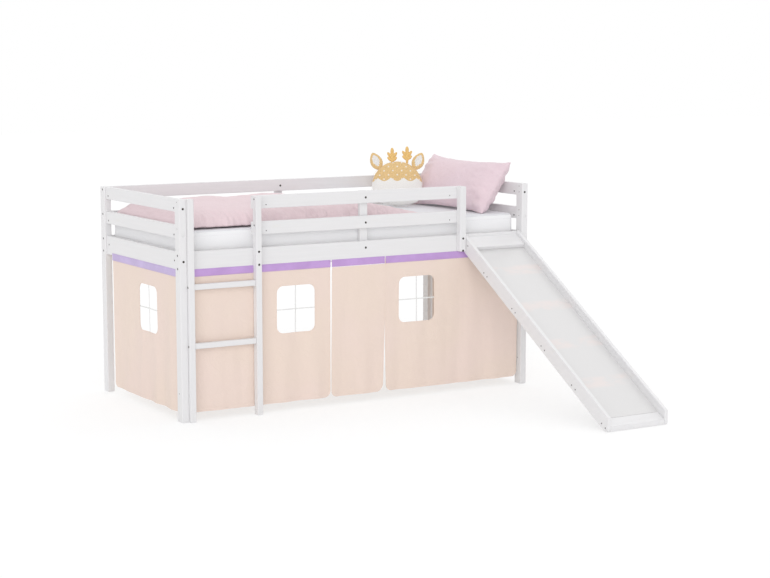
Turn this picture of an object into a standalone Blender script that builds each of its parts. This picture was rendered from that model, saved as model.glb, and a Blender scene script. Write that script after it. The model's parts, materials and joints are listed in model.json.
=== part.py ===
"""Loft bed with slide: a white painted pine bed at mid height.

It has guard rails all round, a two-rung ladder, a slide, a play curtain and its bedding.
Metres, +Z up. Places are written in the bed's own frame, whose corner is the front left
post's outer front foot: X runs along the bed, Y towards its back. The empty bed_origin
moves that corner so that the whole object stands centred on the world's origin.
"""
import bmesh
import bpy
from math import atan2, cos, pi, radians, sin, sqrt, tan
from mathutils import Matrix, Vector

# Fits
joint_gap = 0.0003
cut_overrun = 0.002
edge_round = 0.0022

# Bed frame
bed_length = 2.100
bed_width = 1.020
bed_height = 1.120
post_width = 0.038
post_depth = 0.056
rail_height = 0.066
rail_gap = 0.066
guard_rails = 2
rail_thickness = 0.022
board_height = 0.100
side_inset = 0.019
end_inset = 0.009
ledger_height = 0.035
ledger_width = 0.034
ledger_lift = 0.0035

# Slatted base and bedding
slat_count = 14
slat_width = 0.066
slat_thickness = 0.018
slat_end_space = 0.020
webbing_width = 0.020
webbing_height = 0.0008
webbing_seam = 0.004
webbing_from_side = 0.210
mattress_end_space = 0.050
mattress_width_space = 0.120
mattress_thickness = 0.141
mattress_corner = 0.028
mattress_front_space = 0.003
duvet_length_share = 0.75
duvet_rear_share = 0.635
duvet_width_space = 0.020
duvet_rise = 0.078
duvet_sag = 0.014
duvet_wave = 0.005
duvet_wave_length = 0.370
duvet_gather = 0.006
duvet_gather_length = 0.110
duvet_left_space = 0.006
duvet_front_space = 0.006
pillow_width_space = 0.100
pillow_height = 0.336
pillow_thickness = 0.180
pillow_lean = 33.0
pillow_across_share = 0.4711
pillow_pinch = 0.040

# Cushion with an animal's ears
head_width = 0.300
head_height = 0.256
head_thickness = 0.110
head_from_end = 0.345
head_across_share = 0.7433
head_turn = 31.0
head_lean = 14.0
dome_share = 0.50
jowl_share = 0.34
ear_length = 0.105
ear_width = 0.056
ear_thickness = 0.026
ear_rings = 7
ear_sides = 8
ear_low_share = 0.85
ear_full_share = 0.7
ear_splay = 24.0
ear_across_share = 0.333
ear_up_share = 0.30
antler_height = 0.110
antler_width = 0.046
antler_thickness = 0.018
antler_spacing = 0.086
antler_up_share = 0.43

# Front guard and ladder
stile_width = 0.032
stile_depth = 0.0377
ladder_width = 0.406
rung_height = 0.028
rung_depth = 0.026
rung_setback = 0.007
rung_bolt_setback = 0.0137
upper_rung_share = 0.9008
lower_rung_share = 0.5079
short_post_width = 0.037
short_post_drop = 0.352
mid_post_width = 0.046
mid_post_from_middle = 0.025
mid_post_thickness = 0.022
rear_mid_post_thickness = 0.018

# Slide
slide_reach = 1.270
slide_width = 0.377
slide_head_rise = 0.0153
slide_foot_flat = 0.030
slide_side_space = 0.002
cheek_height = 0.078
cheek_thickness = 0.020
cheek_toe_round = 0.012
panel_thickness = 0.006
batten_lift = 0.010
batten_thickness = 0.022
batten_width = 0.060
batten_count = 4
batten_pitch_share = 0.2066
first_batten_share = 0.1662
top_bar_width = 0.058
top_bar_thickness = 0.022
foot_bar_width = 0.060
floor_clearance = 0.0015

# Curtain
band_height = 0.038
band_thickness = 0.002
band_drop = 0.352
fabric_thickness = 0.0016
fabric_bottom = 0.042
fold_depth = 0.012
fold_pitch = 0.180
sway_pitch_share = 3.7
sway_start = 0.7
sway_share = 0.4
columns_per_fold = 5
fabric_rows = 4
slit_width = 0.003
slit_left_from_middle = 0.185
slit_right_from_middle = 0.143
curtain_post_space = 0.012
hem_corner = 0.030
corner_column_shares = (0, 0.12, 0.45, 1)
hinge_gap = 0.0009
window_width = 0.222
window_height = 0.245
window_height_share = 0.6971
window_corner = 0.036
window_bar = 0.012
front_left_window_from_middle = 0.391
front_right_window_from_middle = 0.342
end_window_from_middle = 0.086

# Bolts, nuts and holes
bolt_sides = 8
bolt_radius = 0.003
bolt_head_radius = 0.006
bolt_head_thickness = 0.003
bolt_sink = 0.001
socket_radius = 0.0025
socket_depth = 0.002
hole_clearance = 0.0005
first_hole_drop = 0.016
second_hole_drop = 0.048
board_hole_drop = 0.046
board_hole_edge = 0.017
mid_bolt_drop = 0.036
nut_radius = 0.005
nut_length = 0.016
nut_distance = 0.030
nut_sink = 0.0008
guard_nut_distance = 0.0157
stile_bolt_edge = 0.035
slide_bolt_edge = 0.094
slide_bolt_drop = 0.006
spare_hole_radius = 0.0032
spare_hole_depth = 0.010
low_hole_height = 0.145
rail_mark_from_end = 0.045
screw_sides = 6
screw_head_radius = 0.0042
screw_recess = 0.003
screw_pair = 0.035

# Places worked out from the sizes
rear_plane = bed_width - side_inset
front_face = side_inset
front_back_face = side_inset + rail_thickness
side_axis = side_inset + rail_thickness / 2
rear_face = rear_plane - rail_thickness
rail_step = rail_height + rail_gap
board_top = bed_height - guard_rails * rail_step
board_bottom = board_top - board_height
ledger_top = board_bottom + ledger_lift + ledger_height
slat_top = ledger_top + joint_gap + slat_thickness
mattress_bottom = slat_top + webbing_height + joint_gap
mattress_top = mattress_bottom + mattress_thickness
mattress_length = bed_length - 2 * mattress_end_space
mattress_width = bed_width - mattress_width_space
mattress_front = front_back_face + mid_post_thickness + mattress_front_space
duvet_length = mattress_length * duvet_length_share
duvet_rear_length = mattress_length * duvet_rear_share
duvet_width = mattress_width - duvet_width_space
pillow_length = mattress_width - pillow_width_space
pillow_centre_y = mattress_front + mattress_width * pillow_across_share
head_x = bed_length - mattress_end_space - head_from_end
head_y = mattress_front + mattress_width * head_across_share
upper_rung_z = board_bottom * upper_rung_share
lower_rung_z = board_bottom * lower_rung_share
mid_post_x = bed_length / 2 + mid_post_from_middle
stile_back = side_inset - joint_gap
stile_front = stile_back - stile_depth
left_stile_x = post_width + joint_gap
right_stile_x = left_stile_x + ladder_width - stile_width
slide_right = bed_length - post_width - slide_side_space
slide_left = slide_right - slide_width
short_post_x = slide_left - slide_side_space - short_post_width
slope = atan2(board_bottom + slide_head_rise, stile_back + slide_reach - slide_foot_flat)
band_top = bed_height - band_drop
band_bottom = band_top - band_height
curtain_left_x = post_width + curtain_post_space
curtain_right_x = bed_length - curtain_left_x
end_curtain_y = post_depth + curtain_post_space
slit_left_x = bed_length / 2 - slit_left_from_middle
slit_right_x = bed_length / 2 + slit_right_from_middle
window_centre_z = board_bottom * window_height_share
front_left_window_x = bed_length / 2 - front_left_window_from_middle
front_right_window_x = bed_length / 2 + front_right_window_from_middle
left_end_window_y = bed_width / 2 - end_window_from_middle
bolt_recess = bolt_sink + bolt_head_thickness + joint_gap

for old in list(bpy.data.objects):
    bpy.data.objects.remove(old)


def make_material(name, colour, roughness, metallic=0.0):
    """A plain Principled BSDF material."""
    material = bpy.data.materials.new(name)
    material.use_nodes = True
    shader = material.node_tree.nodes["Principled BSDF"]
    shader.inputs["Base Color"].default_value = (*colour, 1.0)
    shader.inputs["Roughness"].default_value = roughness
    shader.inputs["Metallic"].default_value = metallic
    return material


white_paint = make_material("white_paint", (0.86, 0.86, 0.87), 0.45)
white_panel = make_material("white_panel", (0.85, 0.85, 0.86), 0.30)
bare_pine = make_material("bare_pine", (0.78, 0.62, 0.42), 0.60)
zinc = make_material("zinc", (0.42, 0.42, 0.43), 0.35, 1.0)
peach_cloth = make_material("peach_cloth", (0.90, 0.74, 0.62), 0.90)
purple_tape = make_material("purple_tape", (0.56, 0.40, 0.72), 0.85)
mattress_cloth = make_material("mattress_cloth", (0.88, 0.88, 0.90), 0.90)
pink_cotton = make_material("pink_cotton", (0.86, 0.66, 0.68), 0.90)
ochre_plush = make_material("ochre_plush", (0.78, 0.52, 0.17), 0.95)

origin = bpy.data.objects.new("bed_origin", None)
origin.location = (-bed_length / 2, (slide_reach - bed_width) / 2, 0)
bpy.context.collection.objects.link(origin)
holes = {}


def place(name, mesh, location, material, parent=origin):
    """Link a mesh as a named object under a parent, with its material."""
    item = bpy.data.objects.new(name, mesh)
    item.location = location
    item.parent = parent
    mesh.materials.append(material)
    bpy.context.collection.objects.link(item)
    return item


def finish_mesh(name, bm):
    """Turn a bmesh into a mesh with its faces pointing out."""
    bmesh.ops.recalc_face_normals(bm, faces=bm.faces[:])
    if bm.calc_volume(signed=True) < 0:
        bmesh.ops.reverse_faces(bm, faces=bm.faces[:])
    mesh = bpy.data.meshes.new(name)
    bm.to_mesh(mesh)
    bm.free()
    return mesh


def soften(item, width=edge_round, segments=1):
    """Round the long edges of a piece of wood."""
    bevel = item.modifiers.new("Rounded edges", "BEVEL")
    bevel.width = width
    bevel.segments = segments
    bevel.limit_method = "ANGLE"


def boolean_with(item, other, operation):
    """Cut another object from this one, or join it to it, and keep the other out of renders."""
    other.hide_render = True
    other.display_type = "WIRE"
    boolean = item.modifiers.new(other.name, "BOOLEAN")
    boolean.object = other
    boolean.operation = operation
    boolean.solver = "EXACT"


def board(name, low, high, material=white_paint):
    """A sawn piece of wood between two corners."""
    low, high = Vector(low), Vector(high)
    bm = bmesh.new()
    bmesh.ops.create_cube(bm, size=1)
    bmesh.ops.scale(bm, vec=high - low, verts=bm.verts[:])
    item = place(name, finish_mesh(name, bm), (low + high) / 2, material)
    soften(item)
    return item


def extrude_outline(bm, outline, x_low, x_high):
    """Add a prism to a bmesh: an outline of (y, z) points, run along X."""
    near = [bm.verts.new((x_low, y, z)) for y, z in outline]
    far = [bm.verts.new((x_high, y, z)) for y, z in outline]
    bm.faces.new(near)
    bm.faces.new(far)
    for i in range(len(outline)):
        j = (i + 1) % len(outline)
        bm.faces.new((near[i], near[j], far[j], far[i]))


def profile_board(name, x_low, x_high, outline, material=white_paint):
    """A piece of wood cut to an outline of (y, z) points and as thick as x_low to x_high."""
    x_mid = (x_low + x_high) / 2
    y0, z0 = outline[0]
    bm = bmesh.new()
    local = [(y - y0, z - z0) for y, z in outline]
    extrude_outline(bm, local, x_low - x_mid, x_high - x_mid)
    item = place(name, finish_mesh(name, bm), (x_mid, y0, z0), material)
    soften(item)
    return item


def turn(bm, profile, start, direction, sides):
    """Add a turned solid: a profile of (radius, distance) points about a line from start."""
    turned = Matrix.Translation(start) @ Vector(direction).to_track_quat("Z", "Y").to_matrix().to_4x4()
    rings = []
    for radius, distance in profile:
        ring = []
        for k in range(sides):
            angle = 2 * pi * (k + 0.5) / sides
            point = Vector((radius * cos(angle), radius * sin(angle), distance))
            ring.append(bm.verts.new(turned @ point))
        rings.append(ring)
    bm.faces.new(rings[0])
    bm.faces.new(rings[-1])
    for inner, outer in zip(rings, rings[1:]):
        for k in range(sides):
            n = (k + 1) % sides
            bm.faces.new((inner[k], inner[n], outer[n], outer[k]))


def drill(item, start, direction, profile, layer=0, sides=bolt_sides):
    """Note a hole to be cut in an object. Holes that cross go on different layers."""
    holes.setdefault(item.name, {}).setdefault(layer, []).append((start, direction, profile, sides))


def drill_plain(item, start, direction, radius, depth, layer=0, sides=bolt_sides):
    """A plain round hole, depth deep from start."""
    drill(item, start, direction, [(radius, -cut_overrun), (radius, depth)], layer, sides)


def drill_stepped(item, start, direction, through):
    """A through hole for a bolt, with a recess for its head."""
    wide = bolt_head_radius + hole_clearance
    narrow = bolt_radius + hole_clearance
    profile = [(wide, -cut_overrun), (wide, bolt_recess), (narrow, bolt_recess), (narrow, through + cut_overrun)]
    drill(item, start, direction, profile)


def head_pocket(item, start, direction):
    """The recess that a bolt's head lies in."""
    drill_plain(item, start, direction, bolt_head_radius + hole_clearance, bolt_recess)


def cut_holes():
    """Cut every noted hole with one Boolean for each layer of each object."""
    for name, layers in holes.items():
        item = bpy.data.objects[name]
        for layer, cuts in sorted(layers.items()):
            bm = bmesh.new()
            for start, direction, profile, sides in cuts:
                turn(bm, profile, Vector(start), direction, sides)
            cutter = place(f"cut_{name}_{layer}", finish_mesh("cut", bm), (0, 0, 0), white_paint)
            boolean_with(item, cutter, "DIFFERENCE")


def place_bolt(name, start, direction, length):
    """A bolt with a socket in its head; start is on the wood's face and length runs from there."""
    under_head = bolt_sink + bolt_head_thickness
    profile = [
        (socket_radius, bolt_sink + socket_depth),
        (socket_radius, bolt_sink),
        (bolt_head_radius, bolt_sink),
        (bolt_head_radius, under_head),
        (bolt_radius, under_head),
        (bolt_radius, length),
    ]
    bm = bmesh.new()
    turn(bm, profile, Vector((0, 0, 0)), direction, bolt_sides)
    item = place(name, finish_mesh(name, bm), start, zinc)
    item.data.shade_smooth()
    item.data.set_sharp_from_angle(angle=radians(50))


def bolted_joint(post, rail, start, direction, through, nut_side, bolt_name=None):
    """A bolt's place in a post and the hole for the barrel nut near the rail's end.

    start is on the post's outer face, through is the post's thickness there, and
    nut_side points out of the rail's face that the nut is put in from. A joint with a
    bolt_name gets its bolt and the whole bore, the others the pocket of the bolt's head.
    """
    start, direction, nut_side = Vector(start), Vector(direction), Vector(nut_side)
    rail_end = start + direction * (through + joint_gap)
    if bolt_name is None:
        head_pocket(post, start, direction)
    else:
        drill_stepped(post, start, direction, through)
        reach = nut_distance + nut_radius + hole_clearance
        drill_plain(rail, rail_end, direction, bolt_radius + hole_clearance, reach)
        place_bolt(bolt_name, start, direction, through + nut_distance + nut_radius)
    nut_mouth = rail_end + direction * nut_distance + nut_side * rail_thickness / 2
    drill_plain(rail, nut_mouth, -nut_side, nut_radius + hole_clearance, nut_length + nut_sink, layer=1)


def make_posts():
    """The four corner posts."""
    posts = {}
    for side, x in (("left", 0), ("right", bed_length - post_width)):
        for depth, y in (("front", 0), ("rear", bed_width - post_depth)):
            low = (x, y, 0)
            high = (x + post_width, y + post_depth, bed_height)
            posts[depth, side] = board(f"post_{depth}_{side}", low, high)
    return posts


def make_end(side, posts):
    """Two guard rails and a board between the posts at one end of the bed."""
    x = end_inset if side == "left" else bed_length - end_inset - rail_thickness
    axis_x = x + rail_thickness / 2
    y_low = post_depth + joint_gap
    y_high = bed_width - post_depth - joint_gap
    levels = (
        ("top_rail", bed_height, rail_height, second_hole_drop),
        ("lower_rail", bed_height - rail_step, rail_height, second_hole_drop),
        ("end_board", board_top, board_height, board_hole_drop),
    )
    for label, top, height, bolt_drop in levels:
        rail = board(f"{side}_{label}", (x, y_low, top - height), (x + rail_thickness, y_high, top))
        for depth, outer_y, way in (("front", 0, 1), ("rear", bed_width, -1)):
            post = posts[depth, side]
            start = (axis_x, outer_y, top - bolt_drop)
            bolted_joint(post, rail, start, (0, way, 0), post_depth, (-1, 0, 0))


def make_side(depth, posts):
    """The long board on one side, with its bolts."""
    y = front_face if depth == "front" else rear_face
    inner = 1 if depth == "front" else -1
    low = (post_width + joint_gap, y, board_bottom)
    high = (bed_length - post_width - joint_gap, y + rail_thickness, board_top)
    side_board = board(f"{depth}_side_board", low, high)
    axis_y = y + rail_thickness / 2
    for side, outer_x, way in (("left", 0, 1), ("right", bed_length, -1)):
        for label, bolt_z in (
            ("upper", board_top - board_hole_edge),
            ("lower", board_bottom + board_hole_edge),
        ):
            start = (outer_x, axis_y, bolt_z)
            name = f"bolt_{depth}_{side}_{label}"
            bolted_joint(posts[depth, side], side_board, start, (way, 0, 0), post_width, (0, inner, 0), name)
    return side_board


def make_ledger(depth):
    """The strip inside a side board that carries the slats."""
    y = front_back_face + joint_gap if depth == "front" else rear_face - joint_gap - ledger_width
    low = (2 * post_width, y, ledger_top - ledger_height)
    high = (bed_length - 2 * post_width, y + ledger_width, ledger_top)
    return board(f"{depth}_ledger", low, high, bare_pine)


def make_slats():
    """Cross slats on the ledgers, joined by two strips of webbing into one roll-out base."""
    x_low = end_inset + rail_thickness + slat_end_space
    x_high = bed_length - x_low - slat_width
    pitch = (x_high - x_low) / (slat_count - 1)
    y_low = front_back_face + mid_post_thickness + 2 * joint_gap
    y_high = rear_face - joint_gap
    bottom = ledger_top + joint_gap
    bm = bmesh.new()
    for k in range(slat_count):
        x = x_low + k * pitch
        outline = [(y_low, bottom), (y_high, bottom), (y_high, slat_top), (y_low, slat_top)]
        extrude_outline(bm, outline, x, x + slat_width)
    slats = place("slatted_base", finish_mesh("slatted_base", bm), (0, 0, 0), bare_pine)
    bm = bmesh.new()
    for y in (webbing_from_side, bed_width - webbing_from_side - webbing_width):
        low, high = slat_top - webbing_height, slat_top + webbing_height
        outline = [(y, low), (y + webbing_width, low), (y + webbing_width, high), (y, high)]
        extrude_outline(bm, outline, x_low + webbing_seam, x_high + slat_width - webbing_seam)
    webbing = place("join_webbing", finish_mesh("join_webbing", bm), (0, 0, 0), bare_pine)
    boolean_with(slats, webbing, "UNION")


def make_rear_guard(posts):
    """Two rails between the rear posts."""
    x_low = post_width + joint_gap
    x_high = bed_length - post_width - joint_gap
    axis_y = rear_plane - rail_thickness / 2
    rails = []
    for label, top in (("rear_top_rail", bed_height), ("rear_lower_rail", bed_height - rail_step)):
        rail = board(label, (x_low, rear_face, top - rail_height), (x_high, rear_plane, top))
        rails.append((rail, top))
        for side, outer_x, way in (("left", 0, 1), ("right", bed_length, -1)):
            start = (outer_x, axis_y, top - first_hole_drop)
            bolted_joint(posts["rear", side], rail, start, (way, 0, 0), post_width, (0, -1, 0))
    return rails


def make_rear_mid_post(rails, side_board):
    """The flat batten that ties the rear rails to the rear side board."""
    y_low = rear_plane + joint_gap
    x_low = mid_post_x - mid_post_width / 2
    low = (x_low, y_low, board_bottom)
    high = (x_low + mid_post_width, y_low + rear_mid_post_thickness, bed_height)
    board("rear_mid_post", low, high)
    for target, top in rails + [(side_board, board_top)]:
        head_pocket(target, (mid_post_x, rear_face, top - mid_bolt_drop), (0, 1, 0))


def make_front_guard():
    """The ladder's right stile, the short post and the two rails bolted behind them."""
    stile_right = right_stile_x + stile_width
    short_post_right = short_post_x + short_post_width
    stile_low = (right_stile_x, stile_front, 0)
    stile = board("ladder_right_stile", stile_low, (stile_right, stile_back, bed_height))
    short_low = (short_post_x, stile_front, band_top + joint_gap)
    short_post = board("front_short_post", short_low, (short_post_right, stile_back, bed_height))
    rails = []
    for label, top in (("front_top_rail", bed_height), ("front_lower_rail", bed_height - rail_step)):
        low = (right_stile_x, front_face, top - rail_height)
        rail = board(label, low, (short_post_right, front_back_face, top))
        rails.append((rail, top))
        for upright, x_low, width, way in (
            (stile, right_stile_x, stile_width, -1),
            (short_post, short_post_x, short_post_width, 1),
        ):
            middle = x_low + width / 2
            head_pocket(rail, (middle, front_back_face, top - first_hole_drop), (0, -1, 0))
            nut_y = stile_back - guard_nut_distance
            mouth = (middle + way * width / 2, nut_y, top - first_hole_drop)
            drill_plain(upright, mouth, (-way, 0, 0), nut_radius + hole_clearance, nut_length + nut_sink)
        for x in (stile_right + rail_mark_from_end, short_post_x - rail_mark_from_end):
            mark = (x, front_face, top - second_hole_drop)
            drill_plain(rail, mark, (0, 1, 0), spare_hole_radius, spare_hole_depth)
    for upright, x_low, width in (
        (stile, right_stile_x, stile_width),
        (short_post, short_post_x, short_post_width),
    ):
        for z in (board_top - board_hole_edge, board_bottom + board_hole_edge):
            head_pocket(upright, (x_low + width / 2, stile_front, z), (0, 1, 0))
    return stile, rails


def make_front_mid_post(side_board, rails):
    """The post behind the front rails: it stands on the ledger and ties them to the board."""
    x_low = mid_post_x - mid_post_width / 2
    y_low = front_back_face + joint_gap
    low = (x_low, y_low, ledger_top + joint_gap)
    high = (x_low + mid_post_width, y_low + mid_post_thickness, bed_height)
    board("front_mid_post", low, high)
    for target, top in rails + [(side_board, board_top)]:
        head_pocket(target, (mid_post_x, front_face, top - mid_bolt_drop), (0, 1, 0))


def make_ladder(side_board, right_stile):
    """The left stile and the two rungs between the stiles."""
    left_low = (left_stile_x, stile_front, 0)
    left_stile = board("ladder_left_stile", left_low, (left_stile_x + stile_width, stile_back, bed_height))
    rung_front = stile_front + rung_setback
    bolt_y = stile_front + rung_bolt_setback
    x_low = left_stile_x + stile_width + joint_gap
    x_high = right_stile_x - joint_gap
    for label, z in (("ladder_upper_rung", upper_rung_z), ("ladder_lower_rung", lower_rung_z)):
        low = (x_low, rung_front, z - rung_height / 2)
        high = (x_high, rung_front + rung_depth, z + rung_height / 2)
        board(label, low, high)
        head_pocket(left_stile, (left_stile_x, bolt_y, z), (1, 0, 0))
        head_pocket(right_stile, (right_stile_x + stile_width, bolt_y, z), (-1, 0, 0))
    x = left_stile_x + stile_width / 2
    for z in (board_top - stile_bolt_edge, board_bottom + stile_bolt_edge):
        head_pocket(side_board, (x, front_back_face, z), (0, -1, 0))


def make_spare_holes(posts):
    """Holes left open because the bed can be put up either way round."""
    for side, outer_x, inner_x, way in (
        ("left", 0, post_width, 1),
        ("right", bed_length, bed_length - post_width, -1),
    ):
        post = posts["front", side]
        spots = [(outer_x, way, low_hole_height), (inner_x, -way, low_hole_height)]
        for top in (bed_height, bed_height - rail_step):
            spots.append((outer_x, way, top - first_hole_drop))
            spots.append((inner_x, -way, top - first_hole_drop))
            spots.append((inner_x, -way, top - second_hole_drop))
        for x, direction, z in spots:
            start = (x, side_axis, z)
            drill_plain(post, start, (direction, 0, 0), spare_hole_radius, spare_hole_depth)


def slide_low(y):
    """Height of the cheeks' lower edge at y."""
    return tan(slope) * (y + slide_reach - slide_foot_flat)


def on_slide(along, lift):
    """The (y, z) point along the slope from the side board, lifted square to it."""
    y = stile_back - along * cos(slope) - lift * sin(slope)
    z = slide_low(stile_back) - along * sin(slope) + lift * cos(slope)
    return y, z


def at_plane(y, lift):
    """The (y, z) point where a line at this lift above the lower edge crosses the plane y."""
    return y, slide_low(y) + lift / cos(slope)


def sloped_box(along_low, along_high, lift_low, lift_high):
    """The outline of a bar that follows the slope."""
    return [
        on_slide(along_low, lift_low),
        on_slide(along_high, lift_low),
        on_slide(along_high, lift_high),
        on_slide(along_low, lift_high),
    ]


def cheek_outline():
    """A cheek seen from its side: cut upright at both ends, level on the floor, its toe rounded."""
    front = -slide_reach
    back = stile_back
    toe = []
    for k in range(4):
        angle = pi / 2 * k / 3
        y = front + cheek_toe_round * (1 - sin(angle))
        z = cheek_toe_round * (1 - cos(angle))
        toe.append((y, z))
    return [
        (back, slide_low(back)),
        (front + slide_foot_flat, 0),
        *toe,
        at_plane(front, cheek_height),
        at_plane(back, cheek_height),
    ]


def make_slide(side_board):
    """Two cheeks, the sliding panel on its battens, a bar at its head and one at its foot."""
    back = stile_back
    cheeks = []
    for side, x in (("left", slide_left), ("right", slide_right - cheek_thickness)):
        cheeks.append(profile_board(f"slide_{side}_cheek", x, x + cheek_thickness, cheek_outline()))
    x_low = slide_left + cheek_thickness + joint_gap
    x_high = slide_right - cheek_thickness - joint_gap
    batten_top = batten_lift + batten_thickness
    panel_low = batten_top + joint_gap
    panel_high = panel_low + panel_thickness
    foot_end = -slide_reach + floor_clearance
    slope_length = (back - foot_end - panel_high * sin(slope)) / cos(slope)
    foot_start = slope_length - foot_bar_width
    panel_outline = [
        at_plane(back, panel_low),
        on_slide(foot_start - joint_gap, panel_low),
        on_slide(foot_start - joint_gap, panel_high),
        at_plane(back, panel_high),
    ]
    panel = profile_board("slide_panel", x_low, x_high, panel_outline, white_panel)
    panel.modifiers["Rounded edges"].width = panel_thickness / 8
    ground = floor_clearance
    keel_y = (ground - batten_lift / cos(slope)) / tan(slope) - slide_reach + slide_foot_flat
    foot_outline = [
        on_slide(foot_start, batten_lift),
        (keel_y, ground),
        (foot_end, ground),
        at_plane(foot_end, panel_high),
        on_slide(foot_start, panel_high),
    ]
    profile_board("slide_foot_bar", x_low, x_high, foot_outline)
    bars = [foot_start + foot_bar_width / 2]
    for k in range(batten_count):
        centre = slope_length * (first_batten_share + k * batten_pitch_share)
        outline = sloped_box(centre - batten_width / 2, centre + batten_width / 2, batten_lift, batten_top)
        profile_board(f"slide_batten_{k + 1}", x_low, x_high, outline)
        bars.append(centre)
    bar_low = panel_high + joint_gap
    bar_high = bar_low + top_bar_thickness
    top_bar_outline = [
        at_plane(back, bar_low),
        on_slide(top_bar_width, bar_low),
        on_slide(top_bar_width, bar_high),
        at_plane(back, bar_high),
    ]
    profile_board("slide_top_bar", x_low, x_high, top_bar_outline)
    screw_pockets(cheeks, bars, bar_low)
    hang_slide(side_board, bar_low)


def screw_pockets(cheeks, bars, bar_low):
    """Recesses for the screws in the cheeks: a pair at each batten's end and one at the top bar."""
    middle = batten_lift + batten_thickness / 2
    places = [(along + shift, middle) for along in bars for shift in (-screw_pair / 2, screw_pair / 2)]
    places.append((top_bar_width / 2, bar_low + top_bar_thickness / 2))
    for along, lift in places:
        y, z = on_slide(along, lift)
        for cheek, x, way in zip(cheeks, (slide_left, slide_right), (1, -1)):
            drill_plain(cheek, (x, y, z), (way, 0, 0), screw_head_radius, screw_recess, sides=screw_sides)


def hang_slide(side_board, bar_low):
    """Recesses behind the side board for the two bolts that reach into the slide's top bar."""
    z = at_plane(stile_back, bar_low + top_bar_thickness / 2)[1] - slide_bolt_drop
    for x in (slide_left + slide_bolt_edge, slide_right - slide_bolt_edge):
        head_pocket(side_board, (x, front_back_face, z), (0, -1, 0))


def fold(distance, fall):
    """How far the cloth stands back from its flat plane: folds that open towards the hem."""
    wave = 0.5 - 0.5 * cos(2 * pi * distance / fold_pitch)
    sway = 1 - sway_share + sway_share * cos(2 * pi * distance / (sway_pitch_share * fold_pitch) + sway_start)
    return fold_depth * wave * sway * fall


def hem_rise(from_edge):
    """How far the hem rises at a rounded bottom corner."""
    if from_edge >= hem_corner:
        return 0
    return hem_corner - sqrt(hem_corner**2 - (hem_corner - from_edge) ** 2)


def column_places(length):
    """Where the cloth's columns of points stand: even folds, and close at the rounded corners."""
    corner = [hem_corner * share for share in corner_column_shares]
    inner = length - 2 * hem_corner
    count = max(2, round(inner / fold_pitch * columns_per_fold))
    middle = [hem_corner + inner * k / count for k in range(1, count)]
    return corner + middle + [length - place_from_end for place_from_end in reversed(corner)]


def cloth_mesh(name, length, height):
    """A hanging cloth as a thin closed solid: X along it, Y its depth, Z down from zero."""
    columns = column_places(length)
    bm = bmesh.new()
    sheets = []
    for offset in (0, fabric_thickness):
        grid = []
        for x in columns:
            drop = height - hem_rise(min(x, length - x))
            line = []
            for row in range(fabric_rows + 1):
                fall = row / fabric_rows
                line.append(bm.verts.new((x, offset + fold(x, fall), -drop * fall)))
            grid.append(line)
        for left, right in zip(grid, grid[1:]):
            for row in range(fabric_rows):
                bm.faces.new((left[row], left[row + 1], right[row + 1], right[row]))
        sheets.append(grid)
    front, back = sheets
    last = len(columns) - 1
    edge = [(i, 0) for i in range(last + 1)] + [(last, r) for r in range(1, fabric_rows + 1)]
    edge += [(i, fabric_rows) for i in range(last - 1, -1, -1)] + [(0, r) for r in range(fabric_rows - 1, 0, -1)]
    for (i, r), (j, s) in zip(edge, edge[1:] + edge[:1]):
        bm.faces.new((front[i][r], front[j][s], back[j][s], back[i][r]))
    return finish_mesh(name, bm)


def pane_outline(side, level):
    """One of a window's four panes as (x, z) points about its centre, with the outer corner round."""
    half_w, half_h, half_bar = window_width / 2, window_height / 2, window_bar / 2
    points = [(half_bar, half_bar), (half_w, half_bar)]
    for k in range(4):
        angle = radians(30 * k)
        x = half_w - window_corner * (1 - cos(angle))
        z = half_h - window_corner * (1 - sin(angle))
        points.append((x, z))
    points.append((half_bar, half_h))
    return [(side * x, level * z) for x, z in points]


def window_cutter(name, centre_x, centre_z, parent):
    """The four panes of a window as one cutter that runs right through the cloth's depth."""
    reach = fold_depth + 4 * fabric_thickness
    bm = bmesh.new()
    for side in (-1, 1):
        for level in (-1, 1):
            outline = pane_outline(side, level)
            near = [bm.verts.new((x, -reach, z)) for x, z in outline]
            far = [bm.verts.new((x, reach, z)) for x, z in outline]
            bm.faces.new(near)
            bm.faces.new(far)
            for i in range(len(outline)):
                j = (i + 1) % len(outline)
                bm.faces.new((near[i], near[j], far[j], far[i]))
    return place(name, finish_mesh(name, bm), (centre_x, 0, centre_z), peach_cloth, parent)


def hang_curtain(name, start, length, turn_z, window_at):
    """A curtain panel that hangs under a board, with a play window where window_at says."""
    top = board_bottom - joint_gap
    cloth = place(name, cloth_mesh(name, length, top - fabric_bottom), (*start, top), peach_cloth)
    cloth.rotation_euler.z = turn_z
    cloth.data.shade_smooth()
    cloth.data.set_sharp_from_angle(angle=radians(40))
    cutter = window_cutter(f"cut_{name}", window_at, window_centre_z - top, cloth)
    boolean_with(cloth, cutter, "DIFFERENCE")


def make_curtain():
    """Five cloth panels round the play space, hung under the boards, and their purple tape."""
    left_x = curtain_left_x
    left_length = slit_left_x - slit_width / 2 - left_x
    hang_curtain("curtain_front_left", (left_x, side_inset), left_length, 0, front_left_window_x - left_x)
    right_x = slit_right_x + slit_width / 2
    right_length = curtain_right_x - right_x
    hang_curtain("curtain_front_right", (right_x, side_inset), right_length, 0, front_right_window_x - right_x)
    end_length = bed_width - 2 * end_curtain_y
    rear_y = end_curtain_y + end_length
    hang_curtain("curtain_left_end", (end_inset, rear_y), end_length, -pi / 2, rear_y - left_end_window_y)
    right_plane = bed_length - end_inset
    right_window = left_end_window_y - end_curtain_y
    hang_curtain("curtain_right_end", (right_plane, end_curtain_y), end_length, pi / 2, right_window)
    make_flap()
    make_tapes()


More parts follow.
